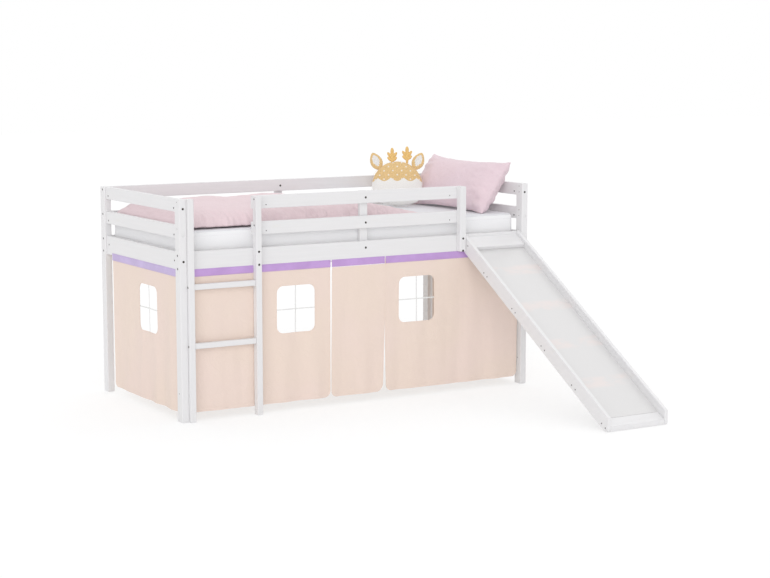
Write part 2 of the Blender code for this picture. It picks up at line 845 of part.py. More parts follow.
def make_flap():
    """The door panel between the two slits, hinged on its top edge under the tape."""
    flap_x = slit_left_x + slit_width / 2
    flap_length = slit_right_x - slit_left_x - slit_width
    hinge = bpy.data.objects.new("flap_hinge", None)
    hinge_z = band_bottom - hinge_gap
    hinge.location = (flap_x, stile_back - band_thickness / 2, hinge_z)
    hinge.parent = origin
    bpy.context.collection.objects.link(hinge)
    mesh = cloth_mesh("curtain_flap", flap_length, hinge_z - fabric_bottom)
    flap = place("curtain_flap", mesh, (0, -fabric_thickness / 2, 0), peach_cloth, hinge)
    flap.data.shade_smooth()
    flap.data.set_sharp_from_angle(angle=radians(40))


def tape(name, low, high):
    """A strip of purple tape flat on a board's outer face."""
    strip = board(name, low, high, purple_tape)
    strip.modifiers.remove(strip.modifiers["Rounded edges"])


def make_tapes():
    """The tape on the boards' outer faces, in lengths between the uprights and the slits."""
    near = stile_back - band_thickness
    runs = (
        ("tape_ladder", left_stile_x + stile_width + joint_gap, right_stile_x - joint_gap),
        ("tape_front_left", right_stile_x + stile_width + joint_gap, slit_left_x - slit_width / 2),
        ("tape_flap", slit_left_x + slit_width / 2, slit_right_x - slit_width / 2),
        ("tape_front_right", slit_right_x + slit_width / 2, curtain_right_x),
    )
    for name, x_low, x_high in runs:
        tape(name, (x_low, near, band_bottom), (x_high, stile_back, band_top))
    end_high = bed_width - end_curtain_y
    left_face = end_inset - joint_gap
    right_face = bed_length - left_face
    left_low = (left_face - band_thickness, end_curtain_y, band_bottom)
    tape("tape_left_end", left_low, (left_face, end_high, band_top))
    right_high = (right_face + band_thickness, end_high, band_top)
    tape("tape_right_end", (right_face, end_curtain_y, band_bottom), right_high)


def pad_mesh(name, shape, columns, rows):
    """A stuffed pad: shape(u, v) gives the top and bottom points for u and v from -1 to 1."""
    bm = bmesh.new()
    top, bottom = [], []
    for i in range(columns + 1):
        u = -cos(pi * i / columns)
        top.append([])
        bottom.append([])
        for j in range(rows + 1):
            v = -cos(pi * j / rows)
            high, low = shape(u, v)
            rim = i in (0, columns) or j in (0, rows)
            vert = bm.verts.new(high)
            top[-1].append(vert)
            bottom[-1].append(vert if rim else bm.verts.new(low))
    for sheet in (top, bottom):
        for i in range(columns):
            for j in range(rows):
                bm.faces.new((sheet[i][j], sheet[i + 1][j], sheet[i + 1][j + 1], sheet[i][j + 1]))
    return finish_mesh(name, bm)


def make_mattress():
    """The foam mattress on the slats."""
    low = (mattress_end_space, mattress_front, mattress_bottom)
    high = (low[0] + mattress_length, mattress_front + mattress_width, mattress_top)
    item = board("mattress", low, high, mattress_cloth)
    bevel = item.modifiers["Rounded edges"]
    bevel.width = mattress_corner
    bevel.segments = 3
    item.data.shade_smooth()


def make_duvet():
    """The duvet laid over the left part of the mattress, with a slanted right end."""
    x_low = end_inset + rail_thickness + duvet_left_space
    y_start = mattress_front + duvet_front_space
    seat = mattress_top + joint_gap + duvet_sag

    def shape(u, v):
        share_x, share_y = (u + 1) / 2, (v + 1) / 2
        full = duvet_length + (duvet_rear_length - duvet_length) * share_y
        gather = duvet_gather * (1 - share_y) * cos(2 * pi * share_x * full / duvet_gather_length)
        x = share_x * full
        y = share_y * duvet_width + gather
        puff = ((1 - u**8) * (1 - v**8)) ** 0.5
        wave = duvet_wave * sin(2 * pi * x / duvet_wave_length) * cos(pi * y / duvet_wave_length + 0.6)
        high = duvet_rise * puff + wave * puff
        return (x, y, high), (x, y, -duvet_sag * puff)

    duvet = place("duvet", pad_mesh("duvet", shape, 22, 10), (x_low, y_start + duvet_gather, seat), pink_cotton)
    duvet.data.shade_smooth()


def seat_and_lean(item, height, stop_height, stop_x):
    """Set a tilted pad to rest at height, and push it right until it meets the rail at stop_x.

    The rail ends at stop_height, so only what lies below that height counts for the push.
    """
    tilt = item.rotation_euler.to_matrix()
    points = [tilt @ vertex.co for vertex in item.data.vertices]
    lift = height - min(point.z for point in points)
    reach = [point.x for point in points if point.z + lift < stop_height]
    for edge in item.data.edges:
        low, high = sorted((points[i] for i in edge.vertices), key=lambda point: point.z)
        if low.z + lift < stop_height < high.z + lift:
            share = (stop_height - lift - low.z) / (high.z - low.z)
            reach.append(low.x + share * (high.x - low.x))
    item.location.z = lift
    item.location.x = stop_x - max(reach)


def make_pillow():
    """The long pillow, stood on its long edge and leaning back on the right end's top rail."""
    half_length, half_height, half_thickness = pillow_length / 2, pillow_height / 2, pillow_thickness / 2

    def shape(u, v):
        x = half_length * u - pillow_pinch * u * (1 - v * v) / 2
        z = half_height * v - pillow_pinch * v * (1 - u * u) / 2
        puff = ((1 - u**4) * (1 - v**2)) ** 0.55
        return (x, -half_thickness * puff, z), (x, half_thickness * puff, z)

    pillow = place("pillow", pad_mesh("pillow", shape, 16, 10), (0, pillow_centre_y, 0), pink_cotton)
    pillow.rotation_euler = (-radians(pillow_lean), 0, -pi / 2)
    rail_face = bed_length - end_inset - rail_thickness
    seat_and_lean(pillow, mattress_top + joint_gap, bed_height, rail_face - joint_gap)
    pillow.data.shade_smooth()


def head_shape(grow):
    """The stuffed head as a pad shape, round on top and squarer below, grown by a clearance."""
    half_w, half_h, half_t = head_width / 2 + grow, head_height / 2 + grow, head_thickness / 2 + grow

    def shape(u, v):
        share = dome_share if v > 0 else jowl_share
        x = half_w * u * sqrt(1 - v * v * share)
        z = half_h * v * sqrt(1 - u * u * share)
        puff = sqrt(max(0.0, (1 - u * u) * (1 - v * v)))
        return (x, -half_t * puff, z), (x, half_t * puff, z)

    return shape


def ear_mesh(name, length, width, thickness, foot):
    """A flat stuffed ear that stands up from foot, widest low down."""
    bm = bmesh.new()
    levels = []
    for i in range(1, ear_rings):
        share = i / ear_rings
        swell = sin(pi * share**ear_low_share) ** ear_full_share
        ring = []
        for k in range(ear_sides):
            angle = 2 * pi * k / ear_sides
            x = width / 2 * swell * cos(angle)
            y = thickness / 2 * swell * sin(angle)
            ring.append(bm.verts.new((x, y, length * share)))
        levels.append(ring)
    low = bm.verts.new((0, 0, 0))
    high = bm.verts.new((0, 0, length))
    for k in range(ear_sides):
        n = (k + 1) % ear_sides
        bm.faces.new((low, levels[0][k], levels[0][n]))
        bm.faces.new((high, levels[-1][n], levels[-1][k]))
    for lower, upper in zip(levels, levels[1:]):
        for k in range(ear_sides):
            n = (k + 1) % ear_sides
            bm.faces.new((lower[k], lower[n], upper[n], upper[k]))
    bmesh.ops.transform(bm, matrix=foot, verts=bm.verts[:])
    return finish_mesh(name, bm)


def make_cushion():
    """The head cushion with ears and small antlers, stood on the mattress before the pillow."""
    seat = bpy.data.objects.new("cushion_seat", None)
    seat.rotation_euler = (-radians(head_lean), 0, -radians(head_turn))
    seat.parent = origin
    bpy.context.collection.objects.link(seat)
    head = place("cushion_head", pad_mesh("cushion_head", head_shape(0), 12, 12), (0, 0, 0), ochre_plush, seat)
    head.data.shade_smooth()
    tilt = seat.rotation_euler.to_matrix()
    drop = min((tilt @ vertex.co).z for vertex in head.data.vertices)
    seat.location = (head_x, head_y, mattress_top + joint_gap - drop)
    cutter_mesh = pad_mesh("cut_head", head_shape(joint_gap), 12, 12)
    cutter = place("cut_cushion_head", cutter_mesh, (0, 0, 0), ochre_plush, seat)
    ear_x = head_width * ear_across_share
    ear_z = head_height * ear_up_share
    antler_z = head_height * antler_up_share
    for label, side in (("left", -1), ("right", 1)):
        lean = Matrix.Rotation(side * radians(ear_splay), 4, "Y")
        ear_foot = Matrix.Translation((side * ear_x, 0, ear_z)) @ lean
        ear_name = f"cushion_{label}_ear"
        ear = place(
            ear_name, ear_mesh(ear_name, ear_length, ear_width, ear_thickness, ear_foot), (0, 0, 0), ochre_plush, seat
        )
        ear.data.shade_smooth()
        boolean_with(ear, cutter, "DIFFERENCE")
        antler_foot = Matrix.Translation((side * antler_spacing / 2, 0, antler_z))
        antler_mesh = ear_mesh("antler", antler_height, antler_width, antler_thickness, antler_foot)
        boolean_with(head, place(f"join_{label}_antler", antler_mesh, (0, 0, 0), ochre_plush, seat), "UNION")


def make_bed():
    """Every piece of the bed, from the frame to the bedding."""
    posts = make_posts()
    for side in ("left", "right"):
        make_end(side, posts)
    front_board = make_side("front", posts)
    rear_board = make_side("rear", posts)
    make_ledger("front")
    make_ledger("rear")
    make_slats()
    rear_rails = make_rear_guard(posts)
    make_rear_mid_post(rear_rails, rear_board)
    right_stile, front_rails = make_front_guard()
    make_front_mid_post(front_board, front_rails)
    make_ladder(front_board, right_stile)
    make_spare_holes(posts)
    make_slide(front_board)
    make_curtain()
    make_mattress()
    make_duvet()
    make_pillow()
    make_cushion()
    cut_holes()


make_bed()
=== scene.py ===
"""Looks of the loft bed with slide: painted wood, play curtain, bedding, fasteners and a plain studio."""

import json
from math import atan2, cos, dist, hypot, pi, radians, sin, sqrt, tan

import bmesh
import bpy
import numpy as np
from bpy.props import FloatProperty, FloatVectorProperty, IntProperty, PointerProperty
from mathutils import Matrix, Vector, noise
from mathutils.bvhtree import BVHTree


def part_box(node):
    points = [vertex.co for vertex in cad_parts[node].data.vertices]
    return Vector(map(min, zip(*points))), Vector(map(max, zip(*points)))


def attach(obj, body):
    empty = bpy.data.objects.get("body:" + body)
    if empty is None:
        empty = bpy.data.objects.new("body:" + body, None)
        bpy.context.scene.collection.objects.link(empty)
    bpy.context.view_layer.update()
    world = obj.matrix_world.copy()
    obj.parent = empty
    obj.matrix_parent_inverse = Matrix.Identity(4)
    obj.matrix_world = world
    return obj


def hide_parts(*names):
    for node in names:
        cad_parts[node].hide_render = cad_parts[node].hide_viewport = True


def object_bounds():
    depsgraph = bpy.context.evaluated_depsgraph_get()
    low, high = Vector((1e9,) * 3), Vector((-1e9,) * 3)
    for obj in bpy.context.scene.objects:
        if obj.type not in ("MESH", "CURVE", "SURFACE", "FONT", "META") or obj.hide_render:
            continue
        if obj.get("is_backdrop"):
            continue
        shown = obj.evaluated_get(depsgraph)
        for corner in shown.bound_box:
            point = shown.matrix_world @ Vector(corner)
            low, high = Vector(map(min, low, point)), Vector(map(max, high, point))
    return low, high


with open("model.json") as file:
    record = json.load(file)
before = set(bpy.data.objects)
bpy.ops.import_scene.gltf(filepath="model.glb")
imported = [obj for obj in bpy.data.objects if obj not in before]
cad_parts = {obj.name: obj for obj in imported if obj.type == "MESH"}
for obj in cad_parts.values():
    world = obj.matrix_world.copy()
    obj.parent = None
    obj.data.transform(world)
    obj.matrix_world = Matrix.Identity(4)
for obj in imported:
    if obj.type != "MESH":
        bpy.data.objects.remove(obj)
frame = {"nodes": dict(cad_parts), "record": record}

bl_info = {
    "name": "Loft Bed With Slide",
    "version": (1, 0, 0),
    "blender": (4, 5, 0),
    "location": "View3D > Sidebar > Loft Bed",
    "description": "Dresses a packed loft bed with paint, cloth, bedding, fasteners and a studio",
    "category": "Add Mesh",
}

GAP = 0.0003  # left between pieces that touch
BED_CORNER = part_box("post_front_left")[0]
BED_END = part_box("post_front_right")[1].x - BED_CORNER.x
BED_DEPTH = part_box("post_rear_left")[1].y - BED_CORNER.y
BED_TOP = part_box("post_front_left")[1].z
BOARD_LOW, BOARD_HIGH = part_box("front_side_board")
BOARD_BOTTOM, BOARD_TOP = BOARD_LOW.z, BOARD_HIGH.z
BOARD_FRONT, BOARD_BACK = BOARD_LOW.y - BED_CORNER.y, BOARD_HIGH.y - BED_CORNER.y
MATTRESS_LOW, MATTRESS_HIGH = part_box("mattress")
MATTRESS_FACE = MATTRESS_HIGH.z + GAP

# The slide's slope, from the left cheek's lower edge.
CHEEK_LOW, CHEEK_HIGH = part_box("slide_left_cheek")
FOOT_FLAT = 0.030
HEAD_LIFT = 0.0153
SLOPE = atan2(BOARD_BOTTOM + HEAD_LIFT, CHEEK_HIGH.y - CHEEK_LOW.y - FOOT_FLAT)
BATTEN_FIRST = 0.247
BATTEN_PITCH = 0.307
BATTEN_MIDDLE = 0.021
PANEL_TOP = 0.0383


def on_bed(x, y, z):
    """A point measured from the bed's front left foot, in the row frame."""
    return Vector((BED_CORNER.x + x, BED_CORNER.y + y, z))


def on_slide(along, lift):
    """The (y, z) point this far down the slope from the bed, lifted square to it."""
    y = CHEEK_HIGH.y - along * cos(SLOPE) - lift * sin(SLOPE)
    z = BOARD_BOTTOM + HEAD_LIFT - along * sin(SLOPE) + lift * cos(SLOPE)
    return y, z


# ---------------------------------------------------------------- settings


def colour_setting(name, description, default):
    label = {"name": name, "description": description, "default": default}
    return FloatVectorProperty(**label, subtype="COLOR", min=0, max=1)


def length_setting(name, description, default):
    label = {"name": name, "description": description, "default": default}
    return FloatProperty(**label, subtype="DISTANCE", unit="LENGTH")


def number_setting(name, description, default):
    return FloatProperty(name=name, description=description, default=default)


def group_setting(kind, name, description):
    return PointerProperty(type=kind, name=name, description=description)


class WoodSettings(bpy.types.PropertyGroup):
    paint: colour_setting("Paint", "Colour of the painted pine", (0.795, 0.79, 0.80))
    panel: colour_setting("Slide panel", "Colour of the lacquered slide panel", (0.71, 0.702, 0.702))
    pine: colour_setting("Pine", "Colour of the bare pine", (0.78, 0.60, 0.38))
    grain_depth: length_setting("Grain depth", "Relief of the grain under the paint", 0.0004)


class CurtainSettings(bpy.types.PropertyGroup):
    cloth: colour_setting("Cloth", "Colour of the curtain's cotton", (0.852, 0.712, 0.622))
    tape: colour_setting("Tape", "Colour of the tape along the top", (0.53, 0.33, 0.67))
    bars: colour_setting("Window bars", "Colour of the ribbons across the windows", (0.80, 0.80, 0.79))
    fold_depth: length_setting("Fold depth", "How far the folds stand back at the hem", 0.012)
    fold_pitch: length_setting("Fold pitch", "Distance from fold to fold", 0.180)
    thickness: length_setting("Thickness", "Thickness of the cotton", 0.0014)
    hem_height: length_setting("Hem height", "Height of the turned hem", 0.022)
    stitch_pitch: length_setting("Stitch pitch", "Distance from stitch to stitch", 0.0058)


class BeddingSettings(bpy.types.PropertyGroup):
    sheet: colour_setting("Mattress cloth", "Colour of the mattress border", (0.90, 0.90, 0.915))
    duvet: colour_setting("Duvet", "Colour of the duvet", (0.80, 0.645, 0.675))
    pillow: colour_setting("Pillow", "Colour of the pillow", (0.805, 0.645, 0.69))
    plush: colour_setting("Plush", "Colour of the head cushion's upper part", (0.775, 0.545, 0.26))
    cream: colour_setting("Cream plush", "Colour of the head cushion's lower part", (0.87, 0.86, 0.83))
    pressure: number_setting("Filling pressure", "Pressure that fills the pads", 4.0)


class FastenerSettings(bpy.types.PropertyGroup):
    bolt_radius: length_setting("Bolt head radius", "Radius of the bolt heads", 0.006)
    nut_radius: length_setting("Barrel nut radius", "Radius of the barrel nuts", 0.005)
    screw_radius: length_setting("Screw head radius", "Radius of the screw heads", 0.0054)
    seed: IntProperty(name="Seed", description="Turns each fastener to its own angle", default=7)


class StageSettings(bpy.types.PropertyGroup):
    lens: number_setting("Lens", "Focal length in millimetres", 82.94)
    floor: colour_setting("Floor", "Colour of the studio floor", (0.93, 0.93, 0.93))
    world: number_setting("Room light", "Strength of the light from all round", 0.70)
    front: number_setting("Front light", "Strength of the soft light from the camera's side", 0.95)
    key: number_setting("Key light", "Strength of the soft light from above", 0.74)


class LoftBedSettings(bpy.types.PropertyGroup):
    wood: group_setting(WoodSettings, "Wood", "Paint and pine")
    curtain: group_setting(CurtainSettings, "Curtain", "Cloth and tape")
    bedding: group_setting(BeddingSettings, "Bedding", "Mattress, duvet, pillow and cushion")
    fastener: group_setting(FastenerSettings, "Fasteners", "Bolts, nuts and screws")
    stage: group_setting(StageSettings, "Stage", "Floor, light and camera")


def settings():
    return bpy.context.scene.loft_bed


# ---------------------------------------------------------------- node trees


class Graph:
    """A node tree, with short names for the nodes that the pieces need."""

    def __init__(self, tree):
        self.tree = tree

    def add(self, kind, values=None, **properties):
        """A node with its properties set and its inputs given values or links."""
        node = self.tree.nodes.new(kind)
        for key, value in properties.items():
            setattr(node, key, value)
        for key, value in (values or {}).items():
            if isinstance(value, bpy.types.NodeSocket):
                self.tree.links.new(value, node.inputs[key])
            else:
                node.inputs[key].default_value = value
        return node

    def calc(self, operation, first, second=0.0, third=0.0):
        return self.add("ShaderNodeMath", {0: first, 1: second, 2: third}, operation=operation).outputs[0]

    def times(self, first, second):
        return self.calc("MULTIPLY", first, second)

    def plus(self, first, second):
        return self.calc("ADD", first, second)

    def minus(self, first, second):
        return self.calc("SUBTRACT", first, second)

    def wave(self, function, value, pitch):
        """The sine or cosine of a value in metres, with half a turn in each pitch."""
        return self.calc(function, self.times(value, pi / pitch))


class Finish(Graph):
    """A material under way: its node tree, its shader and the patterns that colour and raise it."""

    def __init__(self, name, roughness, metallic=0.0, sheen=(0.0, 0.5)):
        self.material = bpy.data.materials.new(name)
        self.material.use_nodes = True
        super().__init__(self.material.node_tree)
        self.shader = self.tree.nodes["Principled BSDF"]
        keys = ("Roughness", "Metallic", "Sheen Weight", "Sheen Roughness")
        for key, value in zip(keys, (roughness, metallic, *sheen)):
            self.shader.inputs[key].default_value = value

    @property
    def place(self):
        return self.add("ShaderNodeTexCoord").outputs["Object"]

    @property
    def uv(self):
        return self.add("ShaderNodeUVMap", uv_map="cloth").outputs[0]

    def split(self, vector):
        return self.add("ShaderNodeSeparateXYZ", {"Vector": vector}).outputs

    def blend(self, share, low, high, mode="MIX"):
        """From the low colour to the high one; each is a socket or plain values."""
        low, high = (c if isinstance(c, bpy.types.NodeSocket) else (*c[:3], 1.0) for c in (low, high))
        values = {0: share, 6: low, 7: high}
        return self.add("ShaderNodeMix", values, data_type="RGBA", blend_type=mode).outputs[2]

    def toned(self, share, colour, low, high):
        """One colour, from a low strength to a high one."""
        return self.blend(share, shades(colour, low), shades(colour, high))

    def ramp(self, value, low, high, low_out=0.0, high_out=1.0):
        values = {"Value": value, "From Min": low, "From Max": high, "To Min": low_out, "To Max": high_out}
        return self.add("ShaderNodeMapRange", values, interpolation_type="SMOOTHSTEP").outputs["Result"]

    def stretched(self, source, scale, turn=(0, 0, 0)):
        """Coordinates turned and then stretched, for a grain that runs one way."""
        turned = self.add("ShaderNodeMapping", {"Vector": source, "Rotation": turn})
        return self.add("ShaderNodeMapping", {"Vector": turned.outputs[0], "Scale": scale}).outputs[0]

    def noise(self, vector, scale, detail=3.0, distortion=0.0):
        values = {"Vector": vector, "Scale": scale, "Detail": detail, "Distortion": distortion}
        return self.add("ShaderNodeTexNoise", values).outputs["Fac"]

    def knots(self, scale, turn, size, inner, outer):
        """A mask of knots, drawn out along the grain."""
        values = {"Vector": self.stretched(self.place, scale, turn), "Scale": size}
        cells = self.add("ShaderNodeTexVoronoi", values)
        return self.ramp(cells.outputs["Distance"], inner, outer, 1.0, 0.0)

    def woven(self, vector, pitch):
        """Height of a plain weave of threads at this pitch, from a UV map in metres."""
        across, down = (self.wave("SINE", way, pitch) for way in self.split(vector)[:2])
        over = self.calc("GREATER_THAN", self.times(across, down), 0.0)
        warp = self.times(self.calc("ABSOLUTE", across), over)
        weft = self.times(self.calc("ABSOLUTE", down), self.minus(1.0, over))
        return self.plus(warp, weft)

    def relief(self, first, first_share, second, second_share):
        """A height made of two patterns, each with its share."""
        return self.plus(self.times(first, first_share), self.times(second, second_share))

    def done(self, colour, height, distance, strength, rough=None, under=None):
        """Link colour, relief and roughness to the shader, and give the material back."""
        values = {"Height": height, "Strength": strength, "Distance": distance}
        if under is not None:
            values["Normal"] = under
        bump = self.add("ShaderNodeBump", values)
        self.tree.links.new(colour, self.shader.inputs["Base Color"])
        self.tree.links.new(bump.outputs[0], self.shader.inputs["Normal"])
        if rough is not None:
            self.tree.links.new(rough, self.shader.inputs["Roughness"])
        return self.material


class Repeat(Graph):
    """A geometry tree with named inputs, for small pieces that repeat."""

    def __init__(self, name, lengths, **others):
        super().__init__(bpy.data.node_groups.new(name, "GeometryNodeTree"))
        face = self.tree.interface
        face.new_socket("Geometry", in_out="INPUT", socket_type="NodeSocketGeometry")
        for label, kind in {**dict.fromkeys(lengths, "Float"), **others, "Seed": "Int"}.items():
            face.new_socket(label, in_out="INPUT", socket_type=f"NodeSocket{kind}")
        face.new_socket("Geometry", in_out="OUTPUT", socket_type="NodeSocketGeometry")
        self.given = self.add("NodeGroupInput").outputs

    def aim(self, direction):
        return self.add("FunctionNodeAlignRotationToVector", {"Vector": direction}, axis="Z").outputs[0]

    def cylinder(self, sides, radius, depth):
        values = {"Vertices": sides, "Radius": radius, "Depth": depth}
        return self.add("GeometryNodeMeshCylinder", values).outputs["Mesh"]

    def lifted(self, geometry, lift):
        shift = self.add("ShaderNodeCombineXYZ", {"Z": lift}).outputs[0]
        return self.add("GeometryNodeTransform", {"Geometry": geometry, "Translation": shift}).outputs[0]

    def finish(self, points, instance, material, **values):
        """End the tree: a copy at each point, made real, in its material."""
        values = {"Points": points, "Instance": instance, **values}
        spread = self.add("GeometryNodeInstanceOnPoints", values)
        real = self.add("GeometryNodeRealizeInstances", {"Geometry": spread.outputs[0]})
        done = self.add("GeometryNodeSetMaterial", {"Geometry": real.outputs[0], "Material": material})
        self.add("NodeGroupOutput", {0: done.outputs[0]})
        return self.tree


def shades(colour, share):
    return tuple(channel * share for channel in colour)


# ---------------------------------------------------------------- wood and metal finishes


def painted_pine(name, colour, turn, depth):
    """White paint over pine: faint grain, brush strokes, a few covered knots and scuffs near the floor."""
    f = Finish(name, 0.42)
    scuff_height = 0.10
    grain = f.noise(f.stretched(f.place, (1.6, 26, 26), turn), 3.0, 5.0, 0.35)
    brush = f.noise(f.stretched(f.place, (3.0, 190, 190), turn), 4.0, 2.0)
    patch = f.ramp(f.noise(f.place, 3.2, 2.0), 0.3, 0.7, 0.0, 0.35)
    paint = f.toned(f.ramp(grain, 0.35, 0.72), colour, 0.982, 1.006)
    paint = f.blend(patch, paint, (colour[0], colour[1] * 0.992, colour[2] * 0.98))
    paint = f.blend(f.times(f.knots((2.4, 8, 8), turn, 1.3, 0.05, 0.13), 0.16), paint, (0.76, 0.73, 0.68))
    low = f.ramp(f.split(f.place)[2], 0.0, scuff_height, 1.0, 0.0)
    scuff = f.times(low, f.ramp(f.noise(f.place, 55.0, 5.0), 0.52, 0.70))
    paint = f.blend(f.times(scuff, 0.16), paint, (0.62, 0.61, 0.60))
    return f.done(paint, f.relief(grain, 0.7, brush, 0.22), depth, 0.28, f.ramp(brush, 0.2, 0.8, 0.36, 0.50))


def bare_pine(name, colour, turn, webbing=False):
    """Planed pine: growth rings, fine fibres, small knots and, where asked, the slats' webbing."""
    f = Finish(name, 0.62)
    rings = {"Vector": f.stretched(f.place, (1.4, 24, 24), turn), "Scale": 1.1, "Distortion": 5.0}
    rings.update({"Detail": 3.0, "Detail Scale": 0.8})
    rings = f.add("ShaderNodeTexWave", rings, wave_type="RINGS", rings_direction="X").outputs["Fac"]
    rings = f.ramp(rings, 0.15, 0.95)
    fibre = f.noise(f.stretched(f.place, (6, 320, 320), turn), 3.0, 3.0)
    wood = f.toned(rings, colour, 0.80, 1.05)
    wood = f.blend(f.ramp(fibre, 0.35, 0.7, 0.0, 0.3), wood, shades(colour, 0.72))
    wood = f.blend(f.knots((3.0, 9, 9), turn, 1.0, 0.04, 0.11), wood, (0.30, 0.16, 0.075))
    if webbing:
        wood = webbed(f, wood)
    return f.done(wood, f.relief(rings, 0.4, fibre, 0.5), 0.0003, 0.5, f.ramp(fibre, 0.2, 0.8, 0.52, 0.70))


def webbed(f, wood):
    """Two strips of light webbing stapled across the slats."""
    thickness, width, from_side = 0.0016, 0.020, 0.210
    _, y, z = f.split(f.place)
    over = f.calc("GREATER_THAN", z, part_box("slatted_base")[1].z - thickness - 0.0001)
    strips = 0.0
    for middle in (from_side + width / 2, BED_DEPTH - from_side - width / 2):
        near = f.calc("COMPARE", y, on_bed(0, middle, 0).y, width / 2 + 0.0002)
        strips = f.calc("MAXIMUM", near, strips)
    rib = f.add("ShaderNodeTexWave", {"Vector": f.place, "Scale": 260.0}, bands_direction="X").outputs["Fac"]
    weave = f.blend(rib, (0.70, 0.69, 0.66), (0.84, 0.83, 0.80))
    return f.blend(f.times(over, strips), wood, weave)


def slide_lacquer(colour):
    """The slide's smooth panel: soft gloss, faint warm bands of painted light over the battens, and lengthwise
    scuffs.
    """
    f = Finish("slide_lacquer", 0.27)
    head_y, head_z = on_slide(0.0, 0.0)
    x, y, z = f.split(f.place)
    ahead = f.times(f.minus(head_y, y), cos(SLOPE))
    along = f.plus(ahead, f.times(f.minus(head_z, z), sin(SLOPE)))
    turns = f.times(f.minus(along, BATTEN_FIRST), 2 * pi / BATTEN_PITCH)
    # Painted light: warm bands over the battens, made patchy by a soft noise.
    painted_batten_light = f.ramp(f.calc("COSINE", turns), 0.50, 0.95)
    soft = f.ramp(f.noise(f.stretched(f.place, (9, 14, 14)), 1.0, 3.0), 0.34, 0.60)
    flat = f.add("ShaderNodeCombineXYZ", {"X": x, "Y": along}).outputs[0]
    streak = f.noise(f.stretched(flat, (150, 2.0, 1)), 1.0, 3.0)
    base = f.toned(f.ramp(streak, 0.35, 0.75), colour, 0.996, 1.0)
    base = f.blend(f.times(f.times(painted_batten_light, soft), 0.9), base, (0.77, 0.708, 0.692))
    scratches = f.ramp(streak, 0.68, 0.78, 0.0, 0.12)
    base = f.blend(f.times(scratches, 0.4), base, (0.74, 0.74, 0.75))
    return f.done(base, streak, 0.00003, 0.1, f.ramp(streak, 0.3, 0.75, 0.28, 0.36))


def plated_steel(name, colour, roughness):
    """Zinc-plated steel with turning marks and small dull spots."""
    f = Finish(name, roughness, 1.0)
    spots = f.noise(f.place, 420.0, 3.0)
    rough = f.ramp(spots, 0.3, 0.7, roughness - 0.08, roughness + 0.12)
    return f.done(f.toned(f.ramp(spots, 0.35, 0.7), colour, 0.72, 1.0), spots, 0.0001, 0.25, rough)


def speckled(name, roughness, scale, dark, light, depth, strength, detail=3.0):
    """A plain finish whose fine specks vary its colour and raise its face."""
    f = Finish(name, roughness)
    specks = f.noise(f.place, scale, detail)
    return f.done(f.blend(specks, dark, light), specks, depth, strength)


def thread(name, colour):
    return speckled(name, 0.7, 900.0, shades(colour, 0.82), colour, 0.0001, 0.4, 2.0)


# ---------------------------------------------------------------- cloth finishes


def cotton(name, colour, pitch, tint, roughness=0.88, crease=0.0):
    """Plain woven cotton: threads, uneven yarn, soft patches of tint and, where asked, small creases."""
    f = Finish(name, roughness, sheen=(0.15, 0.5))
    threads = f.woven(f.uv, pitch)
    slub = [f.noise(f.stretched(f.uv, way), 1.0, 2.0) for way in ((14, 900, 1), (900, 14, 1))]
    slub = f.plus(*slub)
    patch = f.noise(f.place, 2.6, 2.0)
    base = f.toned(threads, colour, 0.93, 1.02)
    base = f.blend(f.ramp(slub, 0.75, 1.25, 0.0, 0.5), base, shades(colour, 0.95))
    base = f.blend(f.ramp(patch, 0.32, 0.68, 0.0, 0.55), base, tint)
    soft = None
    if crease:
        folds = f.noise(f.stretched(f.uv, (9, 15, 1), (0, 0, 0.5)), 1.0, 4.0, 1.2)
        ridges = f.calc("ABSOLUTE", f.minus(folds, 0.5))
        values = {"Height": ridges, "Strength": crease, "Distance": 0.012}
        soft = f.add("ShaderNodeBump", values, invert=True).outputs[0]
    return f.done(base, f.relief(threads, 0.5, slub, 0.3), 0.0004, 0.5, under=soft)


def ribbed_tape(name, colour):
    """Ribbed woven tape with a soft, worn bloom."""
    f = Finish(name, 0.8, sheen=(0.3, 0.45))
    rib = f.calc("ABSOLUTE", f.wave("SINE", f.split(f.uv)[0], 0.0012))
    light = tuple(min(1.0, channel * 1.12 + 0.03) for channel in colour)
    bloom = f.ramp(f.noise(f.uv, 9.0, 3.0), 0.35, 0.7, 0.0, 0.5)
    base = f.blend(bloom, f.toned(rib, colour, 0.86, 1.03), light)
    return f.done(base, f.relief(rib, 0.7, f.noise(f.uv, 700.0, 3.0), 0.3), 0.0004, 0.6)


def knitted_ticking(colour):
    """The mattress cover: a fine rib knit with a small raised lozenge, and painted light: a top painted darker
    than the sides, which stand in shade.
    """
    f = Finish("knitted_ticking", 0.9, sheen=(0.2, 0.5))
    knit_pitch, lozenge_pitch = 0.0011, 0.022
    slanted = f.stretched(f.uv, (1, 1, 1), (0, 0, pi / 4))
    loops = f.woven(slanted, knit_pitch)
    wide, deep = (f.wave("COSINE", way, lozenge_pitch / 2) for way in f.split(slanted)[:2])
    lozenge = f.ramp(f.calc("MAXIMUM", wide, deep), 0.72, 1.0)
    patch = f.ramp(f.noise(f.place, 3.0, 2.0), 0.3, 0.7, 0.0, 0.3)
    base = f.blend(patch, f.toned(loops, colour, 0.955, 1.015), shades(colour, 0.97))
    # Painted light: the top is painted darker than the sides, so that the sides in shade between the rails look
    # as light as the lit top.
    panel = f.ramp(f.split(f.place)[2], MATTRESS_HIGH.z - 0.012, MATTRESS_HIGH.z - 0.004)
    base = f.blend(panel, base, (0.87, 0.88, 0.90), "MULTIPLY")
    return f.done(base, f.relief(loops, 0.3, lozenge, -0.7), 0.0006, 0.5)


